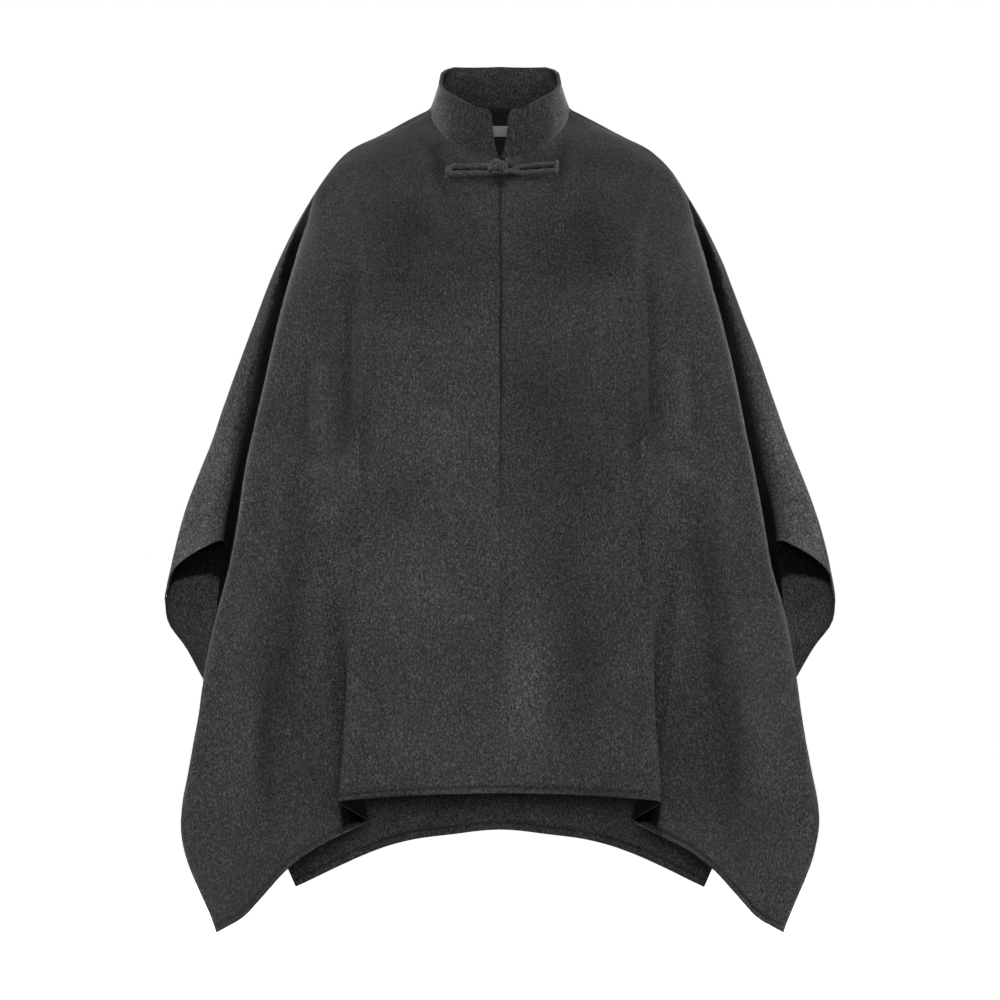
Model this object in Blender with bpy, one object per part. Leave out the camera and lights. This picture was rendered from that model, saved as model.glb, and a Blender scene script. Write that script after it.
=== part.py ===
# A wool poncho held out in its worn shape: two fronts, a back, a stand collar and a frog closure.
# Its origin is the middle of the neck at the height of the shoulder points. It faces -Y, with +Z up.
# Every table gives the wearer's right half (-X); the other half is its mirror image.

import math

import bmesh
import bpy
import numpy as np
from mathutils import Vector
from mathutils.bvhtree import BVHTree

MM = 0.001

WALL = 2.6 * MM  # double-faced coating
COLLAR_WALL = 3.0 * MM
SEAM_GAP = 0.4 * MM  # between the cut edges of two pieces that are sewn together
LAY_GAP = 0.35 * MM  # between a piece and what it lies on

# The neck opening is two half ellipses that meet at the shoulder points.
NECK_HALF_WIDTH = 88 * MM
NECK_FRONT = 75 * MM
NECK_BACK = 75 * MM
NECK_SHOULDER_Z = -4 * MM
NECK_FRONT_DROP = 67 * MM
NECK_DROP_POWER = 1.2
NECK_BACK_RISE = 11 * MM
NECK_STAND = 5 * MM  # how far each panel turns up before the collar's seam
NECK_TURN = 9 * MM  # how far down a panel that turn reaches
NECK_TURN_MOST = 0.8  # the most of the way to a panel's first row that it may take
TURN_ROWS = (0, 0.2, 0.55, 1)  # rows of that turn, as shares of the way round it

ARM_END = 0.62  # how far down a panel the arm seam ends, as a share of its length
ARM_ROUND = 15 * MM  # half width of the cloth's bend over the arm
ARM_END_LIFT = 34 * MM  # how far the arm opening's front edge rises from the seam's end
ARM_LIFT_START = 0.35  # how far down that rise starts
ARM_RUN = 0.01  # length of seam that gives its direction
SHOULDER_PITCH = 0.36  # forward slope over the shoulder seam at the neck
SHOULDER_PITCH_END = 0.12
PLACKET = 14 * MM  # flat strip beside the centre front

# Rows of each panel, as shares of the way down it, below the turn at the neck.
UPPER_ROWS = (0.03, 0.055, 0.085, 0.12, 0.16, 0.20, 0.25, 0.31, 0.37, 0.43, 0.49, 0.555, ARM_END)
LOWER_ROWS = (0.68, 0.74, 0.80, 0.85, 0.90, 0.95, 1.0)

# The arm seam, from the shoulder point to the lowest point of the arm opening.
# Each row of a line: share of the way down the panel, x mm, y mm, z mm.
ARM_SEAM = (
    (0.05, -138, 2, -26),
    (0.10, -188, 4, -51),
    (0.13, -210, 5, -76),
    (0.16, -230, 6, -106),
    (0.20, -255, 7, -147),
    (0.32, -309, 9, -274),
    (0.45, -360, 12, -415),
    (0.56, -403, 14, -538),
    (0.62, -420, 15, -611),
)

# Lines down the front, from the centre outwards: edges, ridges and valleys of its folds.
# Each starts on the neck at its angle from the centre front.
FRONT_CENTRE = (
    (0.06, 0, -93, -112),
    (0.12, 0, -107, -158),
    (0.20, 0, -120, -219),
    (0.32, 0, -132, -311),
    (0.62, 0, -152, -540),
    (1.00, 0, -162, -839),
)
FRONT_BREAST = (
    (0.06, -52, -90, -106),
    (0.12, -78, -105, -152),
    (0.20, -95, -121, -214),
    (0.32, -99, -134, -309),
    (0.62, -99, -155, -542),
    (1.00, -105, -165, -841),
)
FRONT_CREASE = (
    (0.06, -88, -80, -92),
    (0.12, -132, -91, -138),
    (0.20, -164, -110, -196),
    (0.32, -176, -131, -302),
    (0.45, -180, -145, -409),
    (0.62, -181, -157, -544),
    (0.80, -188, -163, -691),
    (1.00, -200, -169, -850),
)
FRONT_TUCK_IN = (
    (0.06, -100, -73, -84),
    (0.12, -146, -84, -131),
    (0.20, -180, -103, -190),
    (0.32, -197, -122, -296),
    (0.45, -200, -129, -408),
    (0.62, -197, -135, -545),
    (0.80, -184, -131, -697),
    (1.00, -160, -110, -877),
)
FRONT_TUCK_OUT = (
    (0.06, -110, -66, -77),
    (0.12, -158, -76, -124),
    (0.20, -196, -95, -183),
    (0.32, -212, -116, -291),
    (0.45, -214, -124, -408),
    (0.62, -211, -129, -546),
    (0.80, -192, -118, -700),
    (1.00, -169, -93, -881),
)
FRONT_DRAPE = (
    (0.06, -124, -54, -62),
    (0.12, -180, -60, -108),
    (0.20, -221, -80, -168),
    (0.32, -238, -108, -279),
    (0.45, -247, -122, -405),
    (0.62, -259, -131, -550),
    (0.80, -282, -137, -733),
    (1.00, -235, -138, -908),
)
FRONT_RIDGE = (
    (0.06, -138, -40, -48),
    (0.12, -200, -38, -86),
    (0.20, -243, -54, -155),
    (0.32, -271, -98, -262),
    (0.45, -300, -131, -398),
    (0.62, -331, -158, -556),
    (0.80, -362, -167, -730),
    (0.90, -371, -174, -850),
    (1.00, -306, -184, -986),
)
# Below the arm seam this line is the front's free side edge, down to its corner.
FRONT_HOLLOW = (
    (0.06, -145, -26, -38),
    (0.12, -205, -24, -76),
    (0.20, -249, -24, -150),
    (0.32, -281, -26, -268),
    (0.45, -311, -17, -402),
    (0.62, -346, -8, -538),
    (0.70, -350, -52, -632),
    (0.80, -357, -106, -732),
    (0.90, -384, -171, -876),
    (1.00, -337, -195, -1002),
)

# Lines down the back, from the centre outwards.
BACK_CENTRE = (
    (0.06, 0, 98, -48),
    (0.12, 0, 113, -105),
    (0.20, 0, 126, -179),
    (0.32, 0, 139, -290),
    (0.62, 0, 156, -570),
    (1.00, 0, 180, -914),
)
BACK_BLADE = (
    (0.06, -64, 90, -44),
    (0.12, -86, 108, -98),
    (0.20, -103, 124, -173),
    (0.32, -114, 138, -288),
    (0.62, -122, 157, -573),
    (1.00, -104, 177, -929),
)
BACK_FLANK = (
    (0.06, -108, 62, -36),
    (0.12, -153, 77, -86),
    (0.20, -186, 92, -162),
    (0.32, -213, 105, -281),
    (0.62, -248, 120, -583),
    (0.80, -220, 141, -765),
    (1.00, -164, 168, -942),
)
BACK_BEHIND_ARM = (
    (0.06, -137, 30, -31),
    (0.12, -193, 37, -74),
    (0.20, -238, 44, -150),
    (0.32, -284, 54, -272),
    (0.62, -354, 69, -592),
    (0.80, -300, 104, -776),
    (1.00, -222, 157, -969),
)
BACK_SIDE = (
    (0.654, -416, 20, -641),
    (0.689, -395, 28, -672),
    (0.729, -373, 40, -713),
    (0.86, -319, 94, -850),
    (1.00, -265, 150, -989),
)
BACK_SIDE_INSET = (18, 2, 8)  # from the side edge to the line beside it, at the corner

# Folds of the back that open towards the hem. Each row: mm from the centre, mm out of the cloth,
# half width in mm, and the share of the way down where it starts.
BACK_FLUTES = (
    (52, -9, 34, 0.30),
    (112, 10, 32, 0.25),
    (178, -9, 30, 0.35),
)

# Each row: the line, its angle on the neck in degrees, how far its bend reaches to each side in mm
# at the top and at the hem, and the points in that bend and on the stretch before it.
FRONT_BENDS = (
    (FRONT_BREAST, 18, 45, 45, 2, 2),
    (FRONT_CREASE, 34, 30, 12, 3, 2),
    (FRONT_TUCK_IN, 40, 14, 8, 2, 1),
    (FRONT_TUCK_OUT, 45, 14, 8, 2, 1),
    (FRONT_DRAPE, 53, 50, 40, 2, 2),
    (FRONT_RIDGE, 64, 24, 18, 4, 2),
    (FRONT_HOLLOW, 73, 24, 0, 3, 2),
)
BACK_BENDS = (
    (BACK_BLADE, 22, 55, 55, 2, 2),
    (BACK_FLANK, 42, 60, 50, 3, 2),
    (BACK_BEHIND_ARM, 64, 45, 30, 3, 2),
)
BACK_CENTRE_REACH = 60 * MM
PLACKET_STEPS = 1
ARM_STEPS = 3
BAND_STEPS = 2  # on the stretch before the bend over the arm
EDGE_STEPS = 1  # on the strips along the centre front and the arm seam
ARM_REACH = 9 * MM
ARM_REACH_END = 32 * MM  # the same bend's reach where the arm seam ends, along the opening's edge
MOST_OF_LEG = 0.48  # the most of a stretch that one bend may take

# The collar's top edge: height by the angle from the centre front.
COLLAR_TOP = (
    (0, -8),
    (13, -6),
    (25, 1),
    (39, 10),
    (55, 18),
    (70, 27),
    (90, 39),
    (100, 47),
    (115, 54),
    (130, 59),
    (180, 62.5),
)
COLLAR_TOP_HALF_WIDTH = 73 * MM
COLLAR_TOP_FRONT = 71 * MM
COLLAR_TOP_BACK = 62 * MM
COLLAR_OPEN_TOP = 10.5 * MM  # half the gap between the collar's front edges at the top
COLLAR_OPEN_POWER = 0.45
COLLAR_CORNER = 7 * MM  # radius of its front top corners
COLLAR_GAP = 0.8 * MM  # between the panels' turned-up edge and the collar
COLLAR_ROWS = 3
RING_STEP = 1  # the least angle in degrees between its columns

FROG_Z = -86 * MM
KNOT_DROP = 2.5 * MM  # the knot hangs this much below the cords' middle
CORD_RADIUS = 4.4 * MM
CORD_GAP = 0.5 * MM  # between the two runs of a folded cord
LOOP_REACH = 66 * MM  # from the centre to the folded end of the loop half
TAB_REACH = 70 * MM
TAB_RISE = 5 * MM
CORD_START = 14.2 * MM  # from the centre to where a cord leaves the knot
KNOT_SIZE = (12.2 * MM, 9.8 * MM, 13.2 * MM)  # half sizes across, deep and high
KNOT_WEAVE = 0.9 * MM  # how deep the grooves between the knot's strands are
KNOT_BANDS = 3
BESIDE_SLIT = 1.5 * MM  # where a front's surface is read for what lies over the slit

LABEL_SIZE = (52 * MM, 13 * MM)
LABEL_TOP_Z = -10.5 * MM
LABEL_WALL = 0.8 * MM


def clear_scene():
    for obj in list(bpy.data.objects):
        bpy.data.objects.remove(obj)


def make_material(name, colour, roughness):
    material = bpy.data.materials.new(name)
    material.use_nodes = True
    shader = material.node_tree.nodes["Principled BSDF"]
    shader.inputs["Base Color"].default_value = (*colour, 1)
    shader.inputs["Roughness"].default_value = roughness
    shader.inputs["Metallic"].default_value = 0
    return material


def smooth(share):
    share = min(max(share, 0.0), 1.0)
    return share * share * (3 - 2 * share)


def on_line(rows, down):
    """The point that far down a line, on a smooth curve through its rows."""
    table = np.array(rows, float)
    at, points = table[:, 0], table[:, 1:]
    slopes = np.gradient(points, at, axis=0)
    k = int(np.clip(np.searchsorted(at, down) - 1, 0, len(at) - 2))
    step = at[k + 1] - at[k]
    s = (down - at[k]) / step
    return (
        (1 + 2 * s) * (1 - s) ** 2 * points[k]
        + s * (1 - s) ** 2 * step * slopes[k]
        + s * s * (3 - 2 * s) * points[k + 1]
        - s * s * (1 - s) * step * slopes[k + 1]
    )


def neck_point(angle, front):
    """A point of the neck opening in mm, by its angle in degrees from the centre front or back."""
    across = math.sin(math.radians(angle))
    along = math.cos(math.radians(angle))
    x = -NECK_HALF_WIDTH * across
    if front:
        y = -NECK_FRONT * along
        z = NECK_SHOULDER_Z - NECK_FRONT_DROP * along**NECK_DROP_POWER
    else:
        y = NECK_BACK * along
        z = NECK_SHOULDER_Z + NECK_BACK_RISE * along
    return np.array((x, y, z)) / MM


def line_point(rows, angle, front, down):
    """A line's point in metres. Its first row is its place on the neck."""
    start = (0.0, *neck_point(angle, front))
    return on_line((start, *rows), down) * MM


def seam_point(down):
    return line_point(ARM_SEAM, 90, True, min(down, ARM_END))


def over_arm(down):
    """The direction in which the cloth passes over the arm seam, from front to back."""
    pitch = SHOULDER_PITCH * (1 - smooth(down / SHOULDER_PITCH_END))
    direction = np.array((0, 1, pitch))
    return direction / np.linalg.norm(direction)


def rounded(stops, legs):
    """Points along a line of stops. Each stop is its point, how far its bend reaches to both
    sides and the points in that bend; legs has the points on the stretches between them."""
    points = [stops[0][0]]
    for k in range(1, len(stops) - 1):
        here, reach, bend_steps = stops[k]
        before = stops[k - 1][0] - here
        after = stops[k + 1][0] - here
        start = here + before * min(reach / np.linalg.norm(before), MOST_OF_LEG)
        end = here + after * min(reach / np.linalg.norm(after), MOST_OF_LEG)
        points += straight(points[-1], start, legs[k - 1])
        for step in range(1, bend_steps + 1):
            s = step / bend_steps
            points.append((1 - s) ** 2 * start + 2 * s * (1 - s) * here + s * s * end)
    return points + straight(points[-1], stops[-1][0], legs[-1])


def straight(start, end, steps):
    return [start + (end - start) * step / steps for step in range(1, steps + 1)]


def bends_at(bends, front, down):
    """The stops of a panel's lines that far down it, and the points on the stretch before each."""
    stops, legs = [], []
    for rows, angle, reach_top, reach_hem, bend_steps, leg_steps in bends:
        share = down
        if rows is FRONT_HOLLOW:  # its bend closes below the arm seam, where it becomes the edge
            share = smooth((down - ARM_END) / (LOWER_ROWS[1] - ARM_END))
        reach = (reach_top + (reach_hem - reach_top) * share) * MM
        stops.append((line_point(rows, angle, front, down), reach, bend_steps))
        legs.append(leg_steps)
    return stops, legs


def front_row(down):
    """One row of the front, from the centre to the arm seam."""
    centre = line_point(FRONT_CENTRE, 0, True, down)
    edge = centre - np.array((SEAM_GAP / 2, 0, 0))
    placket = centre - np.array((PLACKET, 0, 0))
    stops, legs = bends_at(FRONT_BENDS, True, down)
    seam = seam_point(down)
    towards = over_arm(down)
    lower = min(down + ARM_RUN, ARM_END)
    run = seam_point(lower) - seam_point(lower - ARM_RUN)
    ending = smooth((down - ARM_LIFT_START) / (ARM_END - ARM_LIFT_START))
    lift = run / np.linalg.norm(run) * ARM_END_LIFT * ending
    arm = seam - towards * ARM_ROUND - lift
    arm_reach = ARM_REACH + (ARM_REACH_END - ARM_REACH) * ending
    stops = [(edge, 0, 0), (placket, PLACKET, PLACKET_STEPS)] + stops
    stops += [(arm, arm_reach, ARM_STEPS), (seam - towards * SEAM_GAP / 2, 0, 0)]
    return rounded(stops, [EDGE_STEPS] + legs + [BAND_STEPS, EDGE_STEPS])


def columns_to_side_edge():
    """How many columns the front keeps below the arm seam: those before its hollow's bend."""
    bends = sum(row[4] for row in FRONT_BENDS[:-1])
    legs = sum(row[5] for row in FRONT_BENDS)
    return EDGE_STEPS + PLACKET_STEPS + bends + legs


def back_side(down):
    """The back's edge at the arm seam and, below its end, at the side, and the line beside it."""
    seam = seam_point(down)
    towards = over_arm(down)
    edge = seam + towards * SEAM_GAP / 2
    inset = towards * ARM_ROUND
    if down > ARM_END:
        below = (down - ARM_END) / (1 - ARM_END)
        edge = on_line(((ARM_END, *(edge / MM)), *BACK_SIDE), down) * MM
        inset = inset * (1 - below) + np.array(BACK_SIDE_INSET) * MM * below
    return [(edge + inset, ARM_REACH, ARM_STEPS), (edge, 0, 0)]


def flute_depth(across, down):
    """How far the back's folds stand out of the cloth, that many mm from its centre."""
    depth = 0.0
    for place, most, width, start in BACK_FLUTES:
        grown = smooth((down - start) / (1 - start))
        spread = width * (0.7 + 0.3 * grown)
        depth += most * grown * math.exp(-(((across - place) / spread) ** 2))
    return depth * MM


def back_row(down):
    """One row of the back, from the right arm seam to the left one."""
    centre = line_point(BACK_CENTRE, 0, False, down)
    stops, legs = bends_at(BACK_BENDS, False, down)
    legs += [BAND_STEPS, EDGE_STEPS]
    half = stops + back_side(down)
    other = [(mirrored(point), reach, steps) for point, reach, steps in half]
    row = rounded(other[::-1] + [(centre, BACK_CENTRE_REACH, 2)] + half, legs[::-1] + legs)
    for point in row:
        point[1] += flute_depth(abs(point[0]) / MM, down)
    return row


def mirrored(point):
    return point * np.array((-1, 1, 1))


def collar_lean(point):
    """The direction in which the collar rises from a point of the neck."""
    angle = neck_angle(point)
    top = collar_top(angle)
    top[0] = math.copysign(top[0], point[0]) if point[0] else 0.0
    rise = top - point
    return rise / np.linalg.norm(rise)


def neck_angle(point):
    """A neck point's angle in degrees, from 0 at the centre front to 180 at the centre back."""
    depth = NECK_FRONT if point[1] < 0 else NECK_BACK
    return math.degrees(math.atan2(abs(point[0]) / NECK_HALF_WIDTH, -point[1] / depth))


def collar_top(angle):
    """The collar's top edge on the +X side, at that angle from the centre front."""
    degrees, heights = np.array(COLLAR_TOP).T
    depth = COLLAR_TOP_FRONT if angle < 90 else COLLAR_TOP_BACK
    x = COLLAR_TOP_HALF_WIDTH * math.sin(math.radians(angle))
    y = -depth * math.cos(math.radians(angle))
    return np.array((x, y, np.interp(angle, degrees, heights) * MM))


def with_neck_turn(row_of):
    """A panel's rows. The first ones turn up from the panel into the collar's seam."""
    base = row_of(0.0)
    rows = [row_of(down) for down in UPPER_ROWS]
    turn = [[] for _ in TURN_ROWS]
    for point, below in zip(base, rows[0]):
        top = point + collar_lean(point) * NECK_STAND
        away = below - point
        foot = point + away * min(NECK_TURN / np.linalg.norm(away), NECK_TURN_MOST)
        for k, s in enumerate(TURN_ROWS):
            turn[k].append((1 - s) ** 2 * top + 2 * s * (1 - s) * point + s * s * foot)
    return turn + rows + [row_of(down) for down in LOWER_ROWS]


def sheet_mesh(name, rows, short_from, short_columns):
    """A grid through the rows; from one row on it keeps only its first columns."""
    width, height = len(rows[0]) - 1, len(rows) - 1
    mesh = bpy.data.meshes.new(name)
    grid = bmesh.new()
    bmesh.ops.create_grid(grid, x_segments=width, y_segments=height, size=0.5)
    outside = []
    for vert in grid.verts:
        column = round((vert.co.x + 0.5) * width)
        row = round((0.5 - vert.co.y) * height)
        vert.co = Vector(rows[row][column])
        if row > short_from and column > short_columns:
            outside.append(vert)
    bmesh.ops.delete(grid, geom=outside, context="VERTS")
    grid.to_mesh(mesh)
    grid.free()
    return mesh


def cloth_object(name, mesh, wall, material):
    """The sheet with its wall, half to each side."""
    mesh.shade_smooth()
    mesh.materials.append(material)
    obj = bpy.data.objects.new(name, mesh)
    bpy.context.scene.collection.objects.link(obj)
    solidify = obj.modifiers.new("wall", "SOLIDIFY")
    solidify.thickness = wall
    solidify.offset = 0
    return obj


def make_front(name, side, material):
    """One front. Side is -1 for the wearer's right half and 1 for the left."""
    rows = with_neck_turn(front_row)
    if side > 0:
        rows = [[mirrored(point) for point in row] for row in rows]
    mesh = sheet_mesh(name, rows, len(rows) - len(LOWER_ROWS) - 1, columns_to_side_edge())
    return cloth_object(name, mesh, WALL, material)


def make_back(material):
    rows = with_neck_turn(back_row)
    mesh = sheet_mesh("back", rows, len(rows), len(rows[0]))
    return cloth_object("back", mesh, WALL, material)


def neck_ring():
    """Points of the neck seam on the +X side, from the centre front to the centre back."""
    points = [mirrored(point) for point in front_row(0.0)]
    points += [point for point in back_row(0.0) if point[0] >= 0]
    points.sort(key=neck_angle)
    ring = points[:1]
    for point in points[1:]:
        if neck_angle(point) - neck_angle(ring[-1]) > RING_STEP:
            ring.append(point)
    return ring


def collar_column(base):
    """The collar above that point of the neck, from its seam up to its top edge."""
    angle = neck_angle(base)
    across = math.cos(math.radians(min(angle, 90)))
    foot = base + collar_lean(base) * (NECK_STAND + COLLAR_GAP)
    column = []
    for row in range(COLLAR_ROWS + 1):
        up = row / COLLAR_ROWS
        point = foot + (collar_top(angle) - foot) * up
        open_half = COLLAR_OPEN_TOP * up**COLLAR_OPEN_POWER + SEAM_GAP / 2
        point[0] += open_half * across
        if angle < 90:
            into = max(0.0, COLLAR_CORNER - (point[0] - open_half)) * up**3
            point[2] -= COLLAR_CORNER - math.sqrt(COLLAR_CORNER**2 - into**2)
        column.append(point)
    return column


def make_collar(material):
    """The stand collar, a band from front edge to front edge."""
    columns = [collar_column(base) for base in neck_ring()]
    others = [[mirrored(point) for point in column] for column in columns[:-1]]
    rows = list(zip(*others, *columns[::-1]))
    mesh = sheet_mesh("collar", rows[::-1], len(rows), len(rows[0]))
    return cloth_object("collar", mesh, COLLAR_WALL, material)


def tree_of(*objects):
    """A tree of these objects' walls, to lay other pieces on."""
    bpy.context.view_layer.update()
    graph = bpy.context.evaluated_depsgraph_get()
    points, faces = [], []
    for obj in objects:
        mesh = obj.evaluated_get(graph).to_mesh()
        faces += [[i + len(points) for i in face.vertices] for face in mesh.polygons]
        points += [vert.co.copy() for vert in mesh.vertices]
    return BVHTree.FromPolygons(points, faces)


def front_surface(tree, x, z):
    """The front's outer face at that place, or beside the slit."""
    beside = math.copysign(max(abs(x), BESIDE_SLIT), x)
    hit, normal, _, _ = tree.ray_cast(Vector((beside, -1, z)), Vector((0, 1, 0)))
    return Vector((x, hit.y, z)), normal


def cord_route(side, reach, rise):
    """A folded cord in the front's plane: out along one run, round its end and back."""
    half = CORD_RADIUS + CORD_GAP / 2
    route = []
    straight = np.linspace(CORD_START, reach - CORD_RADIUS - half, 7)
    for x in straight:
        route.append((x, half))
    for k in range(1, 6):
        turn = math.pi / 2 - math.pi * k / 6
        route.append((straight[-1] + half * math.cos(turn), half * math.sin(turn)))
    for x in straight[::-1]:
        route.append((x, -half))
    lifted = []
    for x, z in route:
        share = (x - CORD_START) / (reach - CORD_START)
        lifted.append((side * x, FROG_Z + z + rise * share))
    return lifted


def make_cord(name, side, reach, rise, tree, material):
    """One half of the closure, lying on the fronts."""
    curve = bpy.data.curves.new(name, "CURVE")
    curve.dimensions = "3D"
    curve.bevel_depth = CORD_RADIUS
    curve.bevel_resolution = 2
    curve.use_fill_caps = True
    spline = curve.splines.new("POLY")
    route = cord_route(side, reach, rise)
    spline.points.add(len(route) - 1)
    for place, (x, z) in zip(spline.points, route):
        surface, normal = front_surface(tree, x, z)
        centre = surface + normal * (CORD_RADIUS + LAY_GAP)
        place.co = (*centre, 1)
    curve.materials.append(material)
    obj = bpy.data.objects.new(name, curve)
    bpy.context.scene.collection.objects.link(obj)
    return obj


def make_knot(tree, material):
    """The ball knot, with the grooves between its strands."""
    mesh = bpy.data.meshes.new("frog_knot")
    ball = bmesh.new()
    bmesh.ops.create_icosphere(ball, subdivisions=3, radius=1)
    surface, normal = front_surface(tree, 0, FROG_Z - KNOT_DROP)
    centre = surface + normal * (KNOT_SIZE[1] + KNOT_WEAVE + 3 * LAY_GAP)
    for vert in ball.verts:
        x, y, z = vert.co
        over = math.cos(KNOT_BANDS * math.pi * (x + z) / 2)
        under = math.cos(KNOT_BANDS * math.pi * (x - z) / 2)
        weave = KNOT_WEAVE * over * under
        size = Vector(KNOT_SIZE)
        vert.co = Vector((x * size.x, y * size.y, z * size.z)) + vert.co * weave + centre
    ball.to_mesh(mesh)
    ball.free()
    mesh.shade_smooth()
    mesh.materials.append(material)
    obj = bpy.data.objects.new("frog_knot", mesh)
    bpy.context.scene.collection.objects.link(obj)
    return obj


def make_label(tree, material):
    """The blank woven label on the back's inner face, below the neck seam."""
    width, height = LABEL_SIZE
    rows = []
    for row in range(3):
        points = []
        for column in range(9):
            x = width * (column / 8 - 0.5)
            z = LABEL_TOP_Z - height * row / 2
            hit, normal, _, _ = tree.ray_cast(Vector((x, 0, z)), Vector((0, 1, 0)))
            points.append(np.array(hit + normal * (LAY_GAP + LABEL_WALL / 2)))
        rows.append(points)
    mesh = sheet_mesh("label", rows, len(rows), len(rows[0]))
    return cloth_object("label", mesh, LABEL_WALL, material)


def main():
    clear_scene()
    wool = make_material("charcoal wool", (0.040, 0.041, 0.044), 0.95)
    cord = make_material("charcoal wool cord", (0.045, 0.046, 0.048), 0.95)
    satin = make_material("grey satin label", (0.30, 0.30, 0.29), 0.5)
    right = make_front("front_right_side", -1, wool)
    left = make_front("front_left_side", 1, wool)
    back = make_back(wool)
    make_collar(wool)
    fronts = tree_of(right, left)
    make_cord("frog_loop", -1, LOOP_REACH, 0, fronts, cord)
    make_cord("frog_tab", 1, TAB_REACH, TAB_RISE, fronts, cord)
    make_knot(fronts, cord)
    make_label(tree_of(back), satin)


main()
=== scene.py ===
# The looks of a worn wool poncho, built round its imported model: cloth with its folds, sewn hems,
# a stand collar, a corded closure with its knot, and a blank label, in a plain studio.
# Sizes in the tables are in millimetres. A half is given for the wearer's right side (-X).

import math

import bmesh
import bpy
import numpy as np
from mathutils import Matrix, Vector, noise
from mathutils.bvhtree import BVHTree


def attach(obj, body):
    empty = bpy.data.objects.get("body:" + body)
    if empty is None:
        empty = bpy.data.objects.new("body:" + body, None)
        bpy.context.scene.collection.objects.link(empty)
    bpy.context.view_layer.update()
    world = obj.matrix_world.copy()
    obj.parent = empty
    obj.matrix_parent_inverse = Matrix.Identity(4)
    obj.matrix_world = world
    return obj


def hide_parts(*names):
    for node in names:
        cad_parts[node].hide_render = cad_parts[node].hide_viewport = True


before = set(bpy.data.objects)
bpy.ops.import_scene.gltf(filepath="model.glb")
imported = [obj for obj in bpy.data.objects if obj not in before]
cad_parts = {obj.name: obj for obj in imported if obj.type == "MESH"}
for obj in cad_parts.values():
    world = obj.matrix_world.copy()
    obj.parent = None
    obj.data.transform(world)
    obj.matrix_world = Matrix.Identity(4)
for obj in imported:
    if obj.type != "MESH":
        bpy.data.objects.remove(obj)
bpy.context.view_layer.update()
scene = bpy.context.scene
mm = 0.001


def smooth(share):
    share = np.clip(share, 0.0, 1.0)
    return share * share * (3 - 2 * share)


def past(place, start, reach):
    # 0 up to start, then softly up to 1
    return smooth((place - start) / reach)


def bell(distance, reach):
    return np.exp(-((distance / reach) ** 2))


def mix(low, high, share):
    return low + (high - low) * share


def mirrored(points):
    return np.asarray(points) * np.array((-1, 1, 1))


def linearColour(hexColour):
    parts = [int(hexColour[k : k + 2], 16) / 255 for k in (1, 3, 5)]
    parts = [c / 12.92 if c <= 0.04045 else ((c + 0.055) / 1.055) ** 2.4 for c in parts]
    return (*parts, 1.0)


def addNode(tree, kind, inputs, **settings):
    node = tree.nodes.new(kind)
    for name, value in settings.items():
        setattr(node, name, value)
    for socket, value in inputs.items():
        if isinstance(value, bpy.types.NodeSocket):
            tree.links.new(value, node.inputs[socket])
        else:
            node.inputs[socket].default_value = value
    return node


def linked(name, data):
    piece = bpy.data.objects.new(name, data)
    scene.collection.objects.link(piece)
    return piece


def newMaterial(name):
    material = bpy.data.materials.new(name)
    material.use_nodes = True
    return material, material.node_tree, material.node_tree.nodes["Principled BSDF"]


def setStops(ramp, stops):
    elements = ramp.color_ramp.elements
    while len(elements) < len(stops):
        elements.new(0.5)
    for element, (position, colour) in zip(elements, stops):
        element.position = position
        element.color = linearColour(colour)


# Charcoal heather coating, milled and brushed: matt, with paler fibres lying down the cloth, and
# a nap that lights up where it is seen along the surface.
woolLook = {
    "dark fibre": "#1a1a1b",
    "ground": "#373738",
    "pale fibre": "#68686a",
    "tuft width": 2.1,  # real fibres are far finer; these are the finest that a picture shows
    "tuft length": 3.6,
    "fleck width": 1.0,
    "cool tint": "#f9faff",
    "warm tint": "#fffcf9",
    "tint patch": 7,
    "shade patch": 90,
    "shade spread": 0.12,
    "bump": 0.45,
    "gloss": 0.1,
    "sheen": 0.25,
    "sheen roughness": 0.5,
}


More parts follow.
